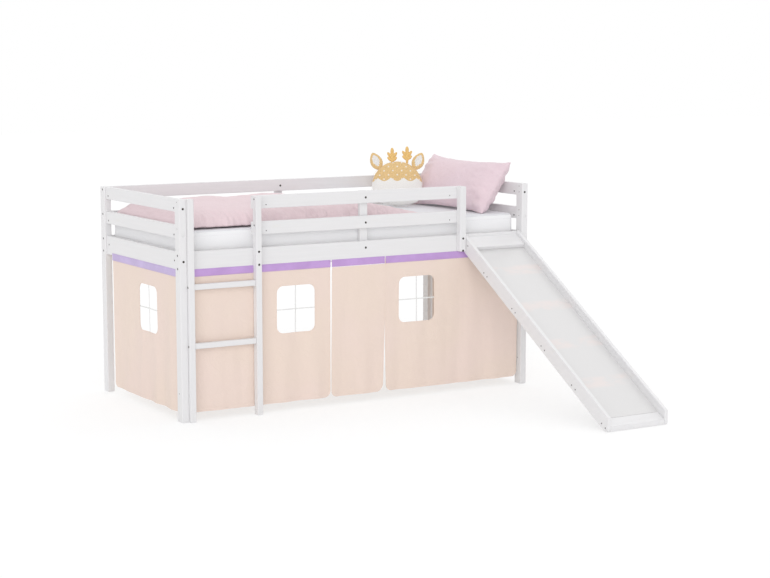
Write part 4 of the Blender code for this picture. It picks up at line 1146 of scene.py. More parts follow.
def make_tape(node, finish, thread_finish, trims):
    """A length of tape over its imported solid, with thin worn edges and two rows of stitching."""
    low, high = (corner.copy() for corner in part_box(node))
    along = 0 if high.x - low.x > high.y - low.y else 1
    low[along] += trims[0]
    high[along] -= trims[1]
    length, height = high[along] - low[along], high.z - low.z
    outward = -1 if along == 0 or low.x < 0 else 1
    thin_share, cell, uneven, from_edge, pitch = 0.98, 0.010, 0.00035, 0.0035, 0.0045
    thick = (high[1 - along] - low[1 - along]) * thin_share
    back = high[1 - along] if outward < 0 else low[1 - along]
    count = max(8, round(length / cell))

    def point(share, lift, z):
        place = [0.0, 0.0, min(max(z, low.z), high.z)]
        place[along] = low[along] + length * share
        place[1 - along] = back + outward * thick * lift
        return place

    bm = bmesh.new()
    rings = []
    for k in range(count + 1):
        share = k / count
        wobble = uneven * noise.noise(Vector((share * length * 22, low.x * 5, low.y * 5)))
        section = [point(share, lift, low.z + height * across + wobble) for across, lift in TAPE_SECTION]
        rings.append([bm.verts.new(place) for place in section])
    bridge(bm, rings)
    uv_from_faces(bm, along)
    piece = smooth(link_mesh(f"{node}_woven", closed_mesh(bm, node), finish), angle=50)
    hand_over(piece, "bed", node)
    levels = (from_edge, height - from_edge)
    rows = [[point(k / count, 0.99, low.z + z) for k in range(count + 1)] for z in levels]
    seam = stitches(f"{node}_stitching", rows, thread_finish, "bed", pitch)


# ---------------------------------------------------------------- bedding


def pad_mesh(name, shape, columns, rows):
    """A stuffed pad: shape(u, v) gives the top and bottom points for u and v from -1 to 1."""
    bm = bmesh.new()
    top, bottom = [], []
    for i in range(columns + 1):
        top.append([])
        bottom.append([])
        for j in range(rows + 1):
            high, low = shape(-cos(pi * i / columns), -cos(pi * j / rows))
            rim = i in (0, columns) or j in (0, rows)
            top[-1].append(bm.verts.new(high))
            bottom[-1].append(top[-1][-1] if rim else bm.verts.new(low))
    for sheet in (top, bottom):
        for i in range(columns):
            for j in range(rows):
                bm.faces.new((sheet[i][j], sheet[i + 1][j], sheet[i + 1][j + 1], sheet[i][j + 1]))
    return closed_mesh(bm, name)


def pad_rim(shape, place, count):
    """Points round a pad's seam."""
    rim = []
    for u0, v0, u1, v1 in ((-1, -1, 1, -1), (1, -1, 1, 1), (1, 1, -1, 1), (-1, 1, -1, -1)):
        for k in range(count):
            share = k / count
            x, _, z = shape(u0 + (u1 - u0) * share, v0 + (v1 - v0) * share)[0]
            rim.append(place @ Vector((x, 0.0, z)))
    return rim


def fill_with_pressure(item, cap):
    """Let cloth with pressure inside swell a pad, and hold each point to a small move."""
    scene = bpy.context.scene
    rest = read(item.data)
    frames = 20
    cloth = item.modifiers.new("Filling", "CLOTH")
    cloth.settings.quality = 5
    cloth.settings.mass = 0.3
    cloth.settings.use_pressure = True
    cloth.settings.uniform_pressure_force = settings().bedding.pressure
    cloth.settings.effector_weights.gravity = 0.0
    cloth.settings.tension_stiffness = 15.0
    cloth.settings.bending_stiffness = 0.6
    cloth.collision_settings.use_collision = False
    cloth.point_cache.frame_start = 1
    cloth.point_cache.frame_end = frames
    for number in range(1, frames + 1):
        scene.frame_set(number)
    made = item.evaluated_get(bpy.context.evaluated_depsgraph_get())
    moved = read(made.to_mesh()) - rest
    made.to_mesh_clear()
    item.modifiers.clear()
    scene.frame_set(1)
    size = np.linalg.norm(moved, axis=1)
    share = np.where(size > 1e-9, np.minimum(size, cap) / np.maximum(size, 1e-9), 0)
    move_points(item, rest + moved * share[:, None])


def stuffed(name, shape, columns, rows, place, voxel, cap):
    """A pad in its place, remeshed evenly, swollen by its filling and made finer."""
    piece = link_mesh(name, pad_mesh(name, shape, columns, rows))
    piece.data.transform(place)
    remeshed(piece, voxel, True)
    fill_with_pressure(piece, cap)
    finer = piece.modifiers.new("Finer", "SUBSURF")
    finer.levels = finer.render_levels = 1
    return smooth(settle(piece))


def on_surface(item, line):
    """The points of a line moved to the nearest places on a piece, evened out along the line."""
    mesh = item.data
    tree = BVHTree.FromPolygons([v.co for v in mesh.vertices], [tuple(p.vertices) for p in mesh.polygons])
    spots = [tree.find_nearest(point)[0] for point in line]
    count = len(spots)
    return [(spots[k - 1] + spots[k] * 2 + spots[(k + 1) % count]) / 4 for k in range(count)]


def rounded_box(name, low, high, radius, step):
    """A block with round edges, made of an even grid that closes up round the edges."""
    middle, half = (low + high) / 2, (high - low) / 2

    def places(h):
        edge = [h - radius + radius * tan(radians(45 * k / 4)) for k in range(5)]
        count = max(1, round(2 * (h - radius) / step))
        inner = [-(h - radius) + 2 * (h - radius) * k / count for k in range(1, count)]
        return [-e for e in reversed(edge)] + inner + edge

    axes = [places(h) for h in half]
    counts = [len(axis) - 1 for axis in axes]
    bm = bmesh.new()
    made = {}

    def corner(index):
        if index not in made:
            place = Vector([axis[i] for axis, i in zip(axes, index)])
            core = Vector([max(-(h - radius), min(h - radius, c)) for c, h in zip(place, half)])
            away = place - core
            if away.length > 1e-9:
                away = away.normalized() * radius
            made[index] = bm.verts.new(middle + core + away)
        return made[index]

    for fixed in range(3):
        one, two = [axis for axis in range(3) if axis != fixed]
        for side in (0, counts[fixed]):
            for a in range(counts[one]):
                for b in range(counts[two]):
                    ring = []
                    for da, db in ((0, 0), (1, 0), (1, 1), (0, 1)):
                        index = [0, 0, 0]
                        index[fixed], index[one], index[two] = side, a + da, b + db
                        ring.append(corner(tuple(index)))
                    bm.faces.new(ring)
    return closed_mesh(bm, name)


def make_mattress_cover():
    """The mattress: a knitted cover, piping along its edges, and stitching under the piping."""
    s = settings().bedding
    low, high = MATTRESS_LOW, MATTRESS_HIGH
    middle, half = (low + high) / 2, (high - low) / 2
    radius, bulge, setback, piping_radius = 0.026, 0.0016, 0.0012, 0.0026
    box = rounded_box("mattress_cover", low, high, radius, step=0.020)
    piece = link_mesh("mattress_cover", box, knitted_ticking(s.sheet))
    spots, normals = read(piece.data), read(piece.data, "normal")
    level = (spots[:, 2] - middle.z) / half.z
    soft, fine = ripple(spots, 5.0, 1.0), ripple(spots, 17.0, 2.0)
    upright = np.abs(normals[:, 2]) < 0.5
    side = np.where(upright, bulge * (1 - level**2) + 0.0008 * soft - setback, 0.0)
    over = np.where(normals[:, 2] > 0.5, -bulge + 0.0014 * soft + 0.0004 * fine, 0.0)
    move_points(piece, spots + normals * (side + np.minimum(over, 0.0))[:, None])
    spots = read(piece.data)
    round_side = np.stack([spots[:, 0] + spots[:, 1], spots[:, 2]], 1)
    write_uv(piece, np.where(np.abs(normals[:, 2:3]) > 0.6, spots[:, [0, 1]], round_side))
    smooth(piece)
    hand_over(piece, "mattress", "mattress")

    def ring(inward, z):
        points = round_rectangle(half.x - radius, half.y - radius, radius - inward, 6)
        return [(middle.x + x, middle.y + y, z) for x, y in points]

    inset = radius * 0.29 + 0.0005
    seam_in, seam_drop = 0.0004, 0.030
    loops = [ring(inset, z) for z in (high.z - inset, low.z + inset)]
    rows = [dense(ring(seam_in, z), 0.02) for z in (high.z - seam_drop, low.z + seam_drop)]
    piping = tube("mattress_piping", loops, piping_radius, knitted_ticking(shades(s.sheet, 0.97)))
    hand_over(piping, "mattress")
    grey = thread("mattress_thread", (0.74, 0.74, 0.76))
    stitches("mattress_side_stitching", rows, grey, "mattress", pitch=0.009, radius=0.0005)


def make_duvet_cover():
    """The duvet: a wide soft pad, slanted at its right end, gathered along its front edge."""
    s = settings().bedding
    low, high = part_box("duvet")
    mattress_length = MATTRESS_HIGH.x - MATTRESS_LOW.x
    front_share, rear_share = 0.75, 0.635
    front_length, rear_length = mattress_length * front_share, mattress_length * rear_share
    width = MATTRESS_HIGH.y - MATTRESS_LOW.y - 0.020
    thickness, thin_end, gather_pitch, wave_pitch = 0.078, 0.360, 0.110, 0.370
    swell = 0.006  # what the filling adds
    seat = MATTRESS_FACE + 0.014

    def shape(u, v):
        share_x, share_y = (u + 1) / 2, (v + 1) / 2
        full = front_length + (rear_length - front_length) * share_y
        gather = 0.006 * (1 - share_y) * cos(2 * pi * share_x * full / gather_pitch)
        x = share_x * (full - 2 * swell) + swell
        y = swell + share_y * (width - 2 * swell) + gather
        puff = ((1 - u**8) * (1 - v**8)) ** 0.5
        wave = 0.005 * sin(2 * pi * x / wave_pitch) * cos(pi * y / wave_pitch + 0.6)
        thin = min(1.0, max(0.0, full - x) / thin_end)
        top = ((thickness - swell) * (0.04 + 0.96 * thin) + 0.010 * share_y * thin + wave * thin) * puff
        return (x, y, top), (x, y, -0.012 * puff)

    place = Matrix.Translation((BED_CORNER.x + 0.037, MATTRESS_LOW.y + 0.012, seat))
    piece = stuffed("duvet_cover", shape, 96, 56, place, voxel=0.011, cap=0.007)
    spots, normals = read(piece.data), read(piece.data, "normal")
    share_x = (spots[:, 0] - low.x) / (high.x - low.x)
    share_y = (spots[:, 1] - low.y) / (high.y - low.y)
    lift = np.clip((spots[:, 2] - seat) / 0.05, 0, 1)
    front = np.clip(1 - share_y / 0.16, 0, 1)
    edge = np.clip(1 - np.minimum(share_x, share_y * 0.6) / 0.14, 0, 1)
    runs = ripple(spots, (42, 9, 9))
    move = 0.0055 * ripple(spots, 7.0, 4.0) + 0.0022 * ripple(spots, 26.0, 5.0)
    move += 0.0120 * runs * front + 0.0050 * runs * edge
    move_points(piece, spots + normals * (np.clip(move, -0.009, 0.006) * (0.25 + 0.75 * lift))[:, None])
    spots = read(piece.data)
    clear = 0.0015
    spots[:, 2] = np.clip(spots[:, 2], MATTRESS_FACE, high.z + 0.010)
    spots[:, 0] = np.maximum(spots[:, 0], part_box("left_top_rail")[1].x + clear)
    spots[:, 1] = np.clip(spots[:, 1], BOARD_BACK_Y + clear, REAR_INNER - clear)
    move_points(piece, spots)
    write_uv(piece, spots[:, [0, 1]])
    tint = shades(s.duvet, 1.04)
    cloth = cotton("duvet_cotton", s.duvet, pitch=0.0009, tint=tint, roughness=0.9, crease=0.55)
    piece.data.materials.append(cloth)
    hand_over(piece, "duvet", "duvet")


def make_pillow_cover():
    """The pillow: full in the middle, drawn to points at its corners, creased where it stands."""
    half_length, half_height, half_thick = 0.400, 0.168, 0.090
    pinch, lean, swell = 0.040, radians(33.0), 0.006

    def shape(u, v):
        x = half_length * u - pinch * u * (1 - v * v) / 2
        z = half_height * v - pinch * v * (1 - u * u) / 2
        thick = (half_thick - swell) * ((1 - u**4) * (1 - v**2)) ** 0.55
        return (x, -thick, z), (x, thick, z)

    def full_shape(u, v):
        return tuple((x, y * half_thick / (half_thick - swell), z) for x, y, z in shape(u, v))

    turn = Matrix.Rotation(-pi / 2, 4, "Z") @ Matrix.Rotation(-lean, 4, "X")
    guide = pad_mesh("pillow_guide", full_shape, 16, 10)
    guide.transform(turn)
    spots = read(guide)
    bpy.data.meshes.remove(guide)
    low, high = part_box("pillow")
    centre = (Vector(spots.min(0)) + Vector(spots.max(0))) / 2
    place = Matrix.Translation((low + high) / 2 - centre) @ turn
    back = place.inverted()
    piece = stuffed("pillow_cover", shape, 72, 44, place, voxel=0.0065, cap=0.007)
    spots, normals = read(piece.data), read(piece.data, "normal")
    local = into(spots, back)
    u, v = local[:, 0] / half_length, local[:, 2] / half_height
    corner = np.clip((np.abs(u) - 0.45) / 0.5, 0, 1)
    foot = np.clip((-v - 0.1) / 0.8, 0, 1)
    near = np.clip((u - 0.2) / 0.7, 0, 1)
    rays = ripple(local, (8, 6, 36))
    rim = 1 - np.clip(np.maximum(np.abs(u), np.abs(v)), 0, 1) ** 8
    move = 0.0045 * ripple(spots, 8.0, 6.0) + 0.0022 * ripple(spots, 30.0, 7.0)
    move += (0.0150 * rays * corner + 0.0130 * rays * foot * (0.3 + near)) * rim
    tips = np.clip((np.abs(u) - 0.86) / 0.14, 0, 1) * np.clip((np.abs(v) - 0.70) / 0.30, 0, 1)
    tips *= np.where((u < 0) & (v > 0), 2.0, 1.0)
    sag = np.clip((u - 0.55) / 0.45, 0, 1) * np.clip((-v - 0.10) / 0.90, 0, 1)
    seat = np.clip((-v - 0.70) / 0.30, 0, 1)
    pull_x = np.sign(u) * 0.012 * tips - 0.020 * sag
    pull_z = np.sign(v) * 0.009 * tips - 0.012 * seat
    pull = np.stack([pull_x, 0 * u, pull_z], 1) @ np.array(place.to_3x3()).T
    move_points(piece, spots + normals * np.clip(move, -0.012, 0.006)[:, None] + pull)
    spots = rest_on_mattress(piece)
    before_rail = np.minimum(spots[:, 0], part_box("right_top_rail")[0].x - 0.0012)
    spots[:, 0] = np.where(spots[:, 2] < BED_TOP + 0.004, before_rail, spots[:, 0])
    move_points(piece, spots)
    write_uv(piece, into(spots, back)[:, [0, 2]])
    colour, tint = settings().bedding.pillow, (0.785, 0.64, 0.70)
    cloth = cotton("pillow_cotton", colour, pitch=0.0009, tint=tint, roughness=0.9, crease=0.6)
    piece.data.materials.append(cloth)
    hand_over(piece, "pillow", "pillow")
    seam = tube("pillow_seam", [on_surface(piece, pad_rim(shape, place, 40))], radius=0.0018, material=cloth)
    rest_on_mattress(seam)
    hand_over(seam, "pillow")


CUSHION_WIDTH, CUSHION_HEIGHT, CUSHION_THICKNESS = 0.300, 0.256, 0.110


def head_shape(shrink, dome=0.014):
    """The stuffed head: round on top and squarer below, made smaller all round by a distance."""
    sizes = (CUSHION_WIDTH, CUSHION_HEIGHT, CUSHION_THICKNESS)
    half_w, half_h, half_t = (size / 2 - shrink for size in sizes)

    def shape(u, v):
        share = 0.50 if v > 0 else 0.34
        tall = half_h + (dome if v > 0 else 0.0)
        x = half_w * u * sqrt(1 - v * v * share)
        z = tall * v * sqrt(1 - u * u * share)
        puff = sqrt(max(0.0, (1 - u * u) * (1 - v * v)))
        return (x, -half_t * puff, z), (x, half_t * puff, z)

    return shape


def cushion_place():
    """The head cushion's own axes in the row frame."""
    facing, lean = radians(31.0), radians(14.0)
    turn = Matrix.Rotation(-facing, 4, "Z") @ Matrix.Rotation(-lean, 4, "X")
    guide = pad_mesh("cushion_guide", head_shape(shrink=0.0, dome=0.0), 12, 12)
    guide.transform(turn)
    drop = min(vertex.co.z for vertex in guide.vertices)
    bpy.data.meshes.remove(guide)
    from_end, depth_share = 0.395, 0.7433
    x = BED_CORNER.x + BED_END - from_end
    y = MATTRESS_LOW.y + (MATTRESS_HIGH.y - MATTRESS_LOW.y) * depth_share
    return Matrix.Translation((x, y, MATTRESS_FACE - drop)) @ turn


def ear_piece(name, foot, length, width, thickness):
    """A stuffed ear: a leaf-shaped pad, hollowed a little in front. Its rim comes with it."""
    rings, sides = 26, 32
    swell = [sin(pi * (i / rings) ** 0.85) ** 0.7 for i in range(1, rings)]
    bm = bmesh.new()
    levels = []
    for i in range(1, rings):
        ring = []
        for k in range(sides):
            across, depth = cos(2 * pi * k / sides), sin(2 * pi * k / sides)
            hollow = 0.55 * (1 - across * across) * sin(pi * i / rings) ** 2 if depth < 0 else 0.0
            wide = width / 2 * swell[i - 1] * across
            deep = thickness / 2 * swell[i - 1] * depth * (1 - hollow)
            ring.append(bm.verts.new((wide, deep, length * i / rings)))
        levels.append(ring)
    low, high = bm.verts.new((0, 0, 0)), bm.verts.new((0, 0, length))
    for k in range(sides):
        n = (k + 1) % sides
        bm.faces.new((low, levels[0][k], levels[0][n]))
        bm.faces.new((high, levels[-1][n], levels[-1][k]))
    bridge(bm, levels, False)
    piece = link_mesh(name, closed_mesh(bm, name))
    front_uv(piece)
    piece.data.transform(foot)
    order = [(1, i) for i in range(1, rings)] + [(-1, i) for i in range(rings - 1, 0, -1)]
    rim = [foot @ Vector((side * width / 2 * swell[i - 1], 0, length * i / rings)) for side, i in order]
    return smooth(piece), rim


LEAVES = (  # across, up, lean in degrees, length, width: shares of the antler's size
    (0.0, 0.40, 0.0, 0.40, 0.115),
    (0.0, 0.80, 0.0, 0.21, 0.145),
    (0.27, 0.62, 34.0, 0.18, 0.120),
    (-0.27, 0.62, -34.0, 0.18, 0.120),
    (0.25, 0.40, 46.0, 0.16, 0.110),
    (-0.25, 0.40, -46.0, 0.16, 0.110),
)


def leaf_sprig(name, foot, height, width, thickness):
    """A small antler of stuffed felt: a stem with rounded side leaves."""
    bm = bmesh.new()
    for across, up, lean, long, wide in LEAVES:
        turn = Matrix.Rotation(radians(lean), 4, "Y")
        size = Matrix.Diagonal((wide * width * 1.25, thickness * 0.42, long * height, 1.0))
        middle = Matrix.Translation((across * width, 0, up * height))
        bmesh.ops.create_uvsphere(bm, u_segments=20, v_segments=14, radius=1.0, matrix=middle @ turn @ size)
    piece = remeshed(link_mesh(name, open_mesh(bm, name)), voxel=0.0016)
    soften = piece.modifiers.new("Soften", "SMOOTH")
    soften.factor = 0.5
    soften.iterations = 4
    settle(piece)
    front_uv(piece)
    piece.data.transform(foot)
    return smooth(piece)


def line_ear(ear, foot, height):
    """Give the leaf-shaped middle of an ear's front its second material."""
    inverse = foot.inverted()
    for face in ear.data.polygons:
        place = inverse @ face.center
        share = place.z / height
        half = 0.019 * sin(pi * (share - 0.14) / 0.78)
        if place.y < -0.0005 and 0.18 < share < 0.88 and abs(place.x) < half:
            face.material_index = 1


def make_cushion_cover():
    """The head-shaped cushion with ears and leaf antlers, in two colours of plush."""
    s = settings().bedding
    place = cushion_place()
    border, ear_tilt = 0.034, radians(24.0)
    ear_size, lined_length, antler_size = (0.108, 0.070, 0.028), 0.105, (0.110, 0.060, 0.020)
    head = stuffed("cushion_head_cover", head_shape(shrink=0.005), 48, 48, place, voxel=0.0045, cap=0.006)
    spots, normals = read(head.data), read(head.data, "normal")
    move = 0.0009 * ripple(spots, 24.0, 8.0) + 0.0011 * ripple(spots, 10.0, 9.0)
    move_points(head, spots + normals * move[:, None])
    write_uv(head, into(rest_on_mattress(head), place.inverted())[:, [0, 2]])
    head.data.materials.append(plush("two_colour_plush", s.plush, s.cream, border))
    hand_over(head, "cushion", "cushion_head")
    plain = plush("plain_plush", s.plush, s.cream)
    felt = plush("antler_felt", tuple(c * f for c, f in zip(s.plush, (1.08, 1.02, 0.8))), s.cream)
    inner = plush("inner_ear_plush", shades(s.cream, 0.95), s.cream)
    rims = []
    for label, side in (("left", -1), ("right", 1)):
        at_side = Matrix.Translation((side * CUSHION_WIDTH * 0.333, 0, CUSHION_HEIGHT * 0.30 + 0.012))
        foot = place @ at_side @ Matrix.Rotation(side * ear_tilt, 4, "Y")
        ear, rim = ear_piece(f"cushion_{label}_ear_cover", foot, *ear_size)
        rims.append(rim)
        ear.data.materials.append(plain)
        ear.data.materials.append(inner)
        line_ear(ear, foot, lined_length)
        hand_over(ear, "cushion", f"cushion_{label}_ear")
        on_top = Matrix.Translation((side * 0.043 + 0.014, 0, CUSHION_HEIGHT * 0.43 + side * 0.004))
        sprig = leaf_sprig(f"cushion_{label}_antler", place @ on_top, *antler_size)
        sprig.data.materials.append(felt)
        hand_over(sprig, "cushion")
    rim = pad_rim(head_shape(shrink=-0.0002), place, 30)
    lowest = MATTRESS_HIGH.z + 0.001
    for point in rim:
        point.z = max(point.z, lowest)
    rows = [line + line[:1] for line in (rim, *rims)]
    dark = thread("cushion_thread", (0.45, 0.27, 0.08))
    stitches("cushion_seam_stitching", rows, dark, "cushion", pitch=0.0052, radius=0.0004)


# ---------------------------------------------------------------- studio


CAMERA_PLACE = (-3.614, -7.967, 1.846)  # from the bed's front left foot
CAMERA_TILT, CAMERA_TURN = 7.66, 31.04  # degrees below level and to the right
LAMPS = (  # name, setting of its strength, place, spread in degrees, colour
    ("key_light", "key", (1.2, 1.5, 4.0), 70.0, (1.0, 1.0, 1.0)),
    ("front_light", "front", (-3.15, -4.1, 2.5), 50.0, (0.99, 0.99, 1.0)),
)


def camera_share(g, plain, seen):
    """One value for the light on the bed and another for what the camera and the reflections see."""
    rays = g.add("ShaderNodeLightPath").outputs
    direct = g.calc("MAXIMUM", rays["Is Camera Ray"], rays["Is Glossy Ray"])
    return g.add("ShaderNodeMapRange", {"Value": direct, "To Min": plain, "To Max": seen}).outputs[0]


def make_floor(colour):
    """A wide pale floor that shows white to the camera, keeps the bed's soft shadow and glows a little onto the
    bed, which lights it from below.
    """
    half, below = 30.0, -0.0005
    bm = bmesh.new()
    bm.faces.new([bm.verts.new((x * half, y * half, below)) for x, y in ((-1, -1), (1, -1), (1, 1), (-1, 1))])
    material = bpy.data.materials.new("studio_floor")
    material.use_nodes = True
    g = Graph(material.node_tree)
    g.tree.nodes.clear()
    plain = g.add("ShaderNodeBsdfDiffuse", {"Color": (*colour, 1.0)}).outputs[0]
    glow = g.add("ShaderNodeEmission", {"Color": (1, 1, 1, 1), "Strength": 1.08}).outputs[0]
    # A quarter of the glow reaches the bed as light from below.
    mixed = g.add("ShaderNodeMixShader", {0: camera_share(g, 0.25, 0.60), 1: plain, 2: glow}).outputs[0]
    g.add("ShaderNodeOutputMaterial", {"Surface": mixed})
    link_mesh("studio_floor", open_mesh(bm, "studio_floor"), material)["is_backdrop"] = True


def make_world(strength):
    """Even white light from all round, and pure white to the camera."""
    world = bpy.data.worlds.new("studio_world")
    bpy.context.scene.world = world
    world.use_nodes = True
    g = Graph(world.node_tree)
    g.tree.nodes.clear()
    values = {"Color": (1, 1, 1, 1), "Strength": camera_share(g, strength, 1.0)}
    g.add("ShaderNodeOutputWorld", {"Surface": g.add("ShaderNodeBackground", values).outputs[0]})


def add_lamp(name, place, target, spread, strength, colour):
    """A soft, even light that shines from a place towards a target."""
    lamp = bpy.data.lights.new(name, "SUN")
    lamp.angle = radians(spread)
    lamp.energy = strength
    lamp.color = colour
    holder = bpy.data.objects.new(name, lamp)
    holder.location = place
    holder.rotation_euler = (place - target).to_track_quat("Z", "Y").to_euler()
    bpy.context.scene.collection.objects.link(holder)


# ---------------------------------------------------------------- operators


class LOFTBED_OT_wood(bpy.types.Operator):
    """Paint the frame, ladder and slide, and give the slats and ledgers their pine"""

    bl_idname = "loft_bed.wood"
    bl_label = "Wood"

    def execute(self, context):
        s = settings().wood
        turns = {"along_x": (0, 0, 0), "along_y": (0, 0, pi / 2), "along_z": (0, pi / 2, 0),
                 "down_slope": (SLOPE, 0, pi / 2)}
        painted = {
            way: painted_pine(f"painted_pine_{way}", tuple(s.paint), turn, s.grain_depth)
            for way, turn in turns.items()
        }
        plain = {
            "slide_panel": slide_lacquer(tuple(s.panel)),
            "slatted_base": bare_pine("slat_pine_and_webbing", tuple(s.pine), (0, 0, pi / 2), True),
            "front_ledger": bare_pine("ledger_pine", tuple(s.pine), (0, 0, 0)),
        }
        plain["rear_ledger"] = plain["front_ledger"]
        for part in frame["record"]["subparts"]:
            node = part["node"]
            if node in plain:
                finish = plain[node]
            elif part["material_slot"] != "white_paint":
                continue
            elif node in ("slide_left_cheek", "slide_right_cheek"):
                finish = painted["down_slope"]
            else:
                low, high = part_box(node)
                size = high - low
                finish = painted["along_" + "xyz"[max(range(3), key=lambda axis: size[axis])]]
            materials = frame["nodes"][node].data.materials
            materials.clear()
            materials.append(finish)
        return {"FINISHED"}


class LOFTBED_OT_fasteners(bpy.types.Operator):
    """Set the bolts, barrel nuts, screws and caps in their holes"""

    bl_idname = "loft_bed.fasteners"
    bl_label = "Fasteners"

    def execute(self, context):
        s = settings().fastener
        steel = plated_steel("bolt_steel", (0.10, 0.088, 0.078), roughness=0.48)
        nut_steel = plated_steel("nut_steel", (0.075, 0.068, 0.062), roughness=0.55)
        brass = plated_steel("screw_brass", (0.075, 0.048, 0.026), roughness=0.55)
        # Painted shade: near-black discs stand for the dark inside of the spare holes.
        shade_in_holes = speckled("drilled_wood", roughness=0.9, scale=900.0, dark=(0.035, 0.022, 0.015),
                           light=(0.085, 0.055, 0.035), depth=0.0002, strength=0.5)
        plastic = speckled("cap_plastic", roughness=0.35, scale=300.0, dark=(0.80, 0.80, 0.80),
                           light=(0.88, 0.88, 0.88), depth=0.00005, strength=0.2)
        sides = (("left", LEFT), ("right", RIGHT))
        nodes = [
            (f"bolt_{end}_{side}_{level}", way)
            for end in ("front", "rear") for side, way in sides for level in ("upper", "lower")
        ]
        long_spots = []
        for node, way in nodes:
            low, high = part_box(node)
            x = low.x if way is LEFT else high.x
            long_spots.append(spot(x, (low.y + high.y) / 2, (low.z + high.z) / 2, way))
        low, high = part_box("bolt_front_left_upper")
        # Each size is a head radius, face radius, head height, recess size and recess depth.
        # A shank radius and length follow; no_shank is a stub too small to see.
        long_shank = (0.003, high.x - low.x - HEAD_HEIGHT)
        no_shank = (0.0003, 0.0002)
        bolts, caps = frame_bolts()
        head = (s.bolt_radius, s.bolt_radius * 0.93, HEAD_HEIGHT, 0.0026, 0.0021)
        set_fasteners("frame_bolts", bolts, "hexagon", head + no_shank, steel, HEAD_SUNK)
        sizes = head + long_shank
        long_bolts = set_fasteners("side_board_bolts", long_spots, "hexagon", sizes, steel, sunk=0.0)
        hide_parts(*[node for node, _ in nodes])
        nut = (s.nut_radius, s.nut_radius * 0.95, 0.008, 0.0036, 0.0016)
        set_fasteners("barrel_nuts", barrel_nuts(), "slot", nut + no_shank, nut_steel, NUT_SUNK)
        screw = (s.screw_radius * 0.85, s.screw_radius, 0.0021, 0.0021, 0.0014)
        set_fasteners("cheek_screws", cheek_screws(), "cross", screw + no_shank, brass, sunk=0.0006)
        mark = (0.0031, 0.0028, 0.0012, 0.0015, 0.0008)
        set_fasteners("guard_screws", guard_marks(), "cross", mark + no_shank, steel, sunk=0.0003)
        # The spare holes get discs of painted shade.
        hole = (0.0031, 0.0031, 0.0012, 0.0004, 0.0002)
        sizes = hole + no_shank
        set_fasteners("drilled_wood", spare_holes(), "slot", sizes, shade_in_holes, sunk=0.0010)
        small = (0.0033, 0.0029, 0.0010, 0.0016, 0.0007)
        set_fasteners("slat_screws", slat_screws(), "cross", small + no_shank, nut_steel, sunk=-0.0010)
        cap = (s.bolt_radius, s.bolt_radius * 0.85, 0.003, 0.0004, 0.0002)
        set_fasteners("bolt_caps", caps, "slot", cap + no_shank, plastic, HEAD_SUNK)
        return {"FINISHED"}


class LOFTBED_OT_curtain(bpy.types.Operator):
    """Hang the five curtain panels with their windows, hems and stitching"""

    bl_idname = "loft_bed.curtain"
    bl_label = "Play curtain"

    def execute(self, context):
        s = settings().curtain
        colour = tuple(s.cloth)
        tint = (colour[0] * 0.985, colour[1] * 0.965, colour[2] * 1.02)
        finish = cotton("curtain_cotton", colour, pitch=0.0011, tint=tint, roughness=0.9, crease=0.25)
        bar_finish = cotton("window_ribbon", tuple(s.bars), pitch=0.0006, tint=tuple(s.bars))
        thread_finish = thread("curtain_thread", shades(colour, 1.03))
        for cloth in cloth_panels():
            make_panel(cloth, finish, bar_finish, thread_finish)
        return {"FINISHED"}


class LOFTBED_OT_tape(bpy.types.Operator):
    """Lay the purple tape along the boards"""

    bl_idname = "loft_bed.tape"
    bl_label = "Tape"

    def execute(self, context):
        colour = tuple(settings().curtain.tape)
        fresh = ribbed_tape("tape_weave", colour)
        # Painted light: a lighter copy of the tape's colour for the left end, which looks lighter in the light
        # that falls on it.
        lit_end_weave = ribbed_tape("faded_tape_weave", (colour[0] * 1.05, colour[1] * 1.36, colour[2] * 1.07))
        thread_finish = thread("tape_thread", shades(colour, 1.1))
        tapes = (  # name, weave, what is trimmed off at its low and high end
            ("ladder", fresh, (0.0, 0.0)),
            ("front_left", fresh, (0.0, 0.003)),
            ("flap", fresh, (0.003, 0.002)),
            ("front_right", fresh, (0.002, 0.0)),
            ("left_end", lit_end_weave, (0.0, REAR_BARE)),
            ("right_end", fresh, (0.0, 0.0)),
        )
        for name, weave, trims in tapes:
            make_tape(f"tape_{name}", weave, thread_finish, trims)
        return {"FINISHED"}


class LOFTBED_OT_mattress(bpy.types.Operator):
    """Cover the foam mattress, with piping along its edges"""

    bl_idname = "loft_bed.mattress"
    bl_label = "Mattress"

    def execute(self, context):
        make_mattress_cover()
        return {"FINISHED"}


class LOFTBED_OT_duvet(bpy.types.Operator):
    """Fill the duvet and lay it over the left part of the mattress"""

    bl_idname = "loft_bed.duvet"
    bl_label = "Duvet"

    def execute(self, context):
        make_duvet_cover()
        return {"FINISHED"}


class LOFTBED_OT_pillow(bpy.types.Operator):
    """Fill the pillow and lean it on the end rail"""

    bl_idname = "loft_bed.pillow"
    bl_label = "Pillow"

    def execute(self, context):
        make_pillow_cover()
        return {"FINISHED"}


class LOFTBED_OT_cushion(bpy.types.Operator):
    """Make the head cushion with its ears and leaf antlers"""

    bl_idname = "loft_bed.cushion"
    bl_label = "Head cushion"

    def execute(self, context):
        make_cushion_cover()
        return {"FINISHED"}


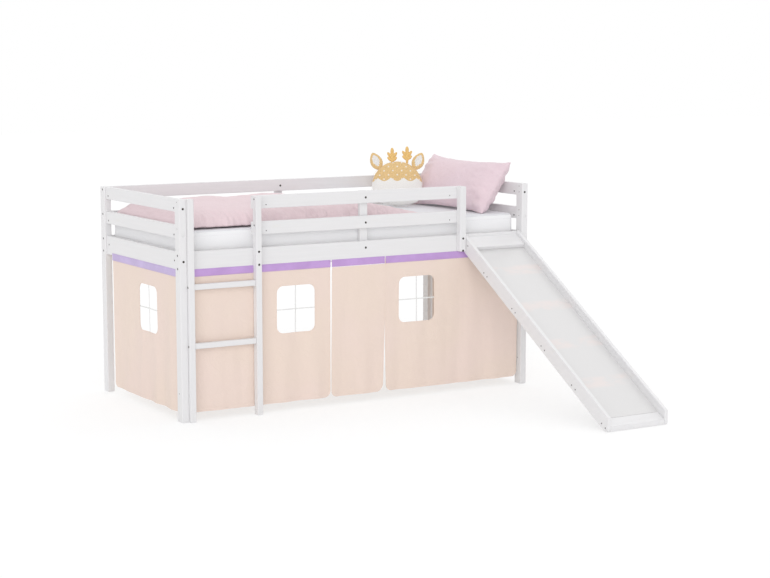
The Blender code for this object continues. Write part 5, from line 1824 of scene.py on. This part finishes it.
class LOFTBED_OT_stage(bpy.types.Operator):
    """Set the floor, the lamps and the camera"""

    bl_idname = "loft_bed.stage"
    bl_label = "Stage"

    def execute(self, context):
        s = settings().stage
        scene = context.scene
        scene.view_settings.view_transform = "Standard"
        make_floor(tuple(s.floor))
        make_world(s.world)
        low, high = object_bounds()
        middle = (low + high) / 2
        for name, key, place, spread, colour in LAMPS:
            add_lamp(name, Vector(place), middle, spread, getattr(s, key), colour)
        camera = bpy.data.cameras.new("photo_camera")
        camera.sensor_width = 36.0
        camera.lens = s.lens
        camera.clip_end = 200.0
        holder = bpy.data.objects.new("photo_camera", camera)
        holder.location = on_bed(*CAMERA_PLACE)
        holder.rotation_euler = (radians(90.0 - CAMERA_TILT), 0.0, -radians(CAMERA_TURN))
        scene.collection.objects.link(holder)
        scene.camera = holder
        return {"FINISHED"}


OPERATORS = (
    LOFTBED_OT_wood,
    LOFTBED_OT_fasteners,
    LOFTBED_OT_curtain,
    LOFTBED_OT_tape,
    LOFTBED_OT_mattress,
    LOFTBED_OT_duvet,
    LOFTBED_OT_pillow,
    LOFTBED_OT_cushion,
    LOFTBED_OT_stage,
)


class LOFTBED_PT_pieces(bpy.types.Panel):
    """The bed's pieces and their settings"""

    bl_label = "Loft Bed With Slide"
    bl_idname = "LOFTBED_PT_pieces"
    bl_space_type = "VIEW_3D"
    bl_region_type = "UI"
    bl_category = "Loft Bed"

    def draw(self, context):
        values = context.scene.loft_bed
        for group in ("wood", "curtain", "bedding", "fastener", "stage"):
            box = self.layout.box()
            box.label(text=group.capitalize())
            chosen = getattr(values, group)
            for key in chosen.__annotations__:
                box.prop(chosen, key)
        for operator in OPERATORS:
            self.layout.operator(operator.bl_idname)


GROUPS = (WoodSettings, CurtainSettings, BeddingSettings, FastenerSettings, StageSettings, LoftBedSettings)
CLASSES = (*GROUPS, *OPERATORS, LOFTBED_PT_pieces)


def register():
    for item in CLASSES:
        bpy.utils.register_class(item)
    bpy.types.Scene.loft_bed = PointerProperty(type=LoftBedSettings)


def unregister():
    del bpy.types.Scene.loft_bed
    for item in reversed(CLASSES):
        bpy.utils.unregister_class(item)


def main():
    """Dress the bed piece by piece."""
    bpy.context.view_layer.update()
    register()
    for operator in OPERATORS:
        group, name = operator.bl_idname.split(".")
        getattr(getattr(bpy.ops, group), name)()


if __name__ == "__main__":
    main()
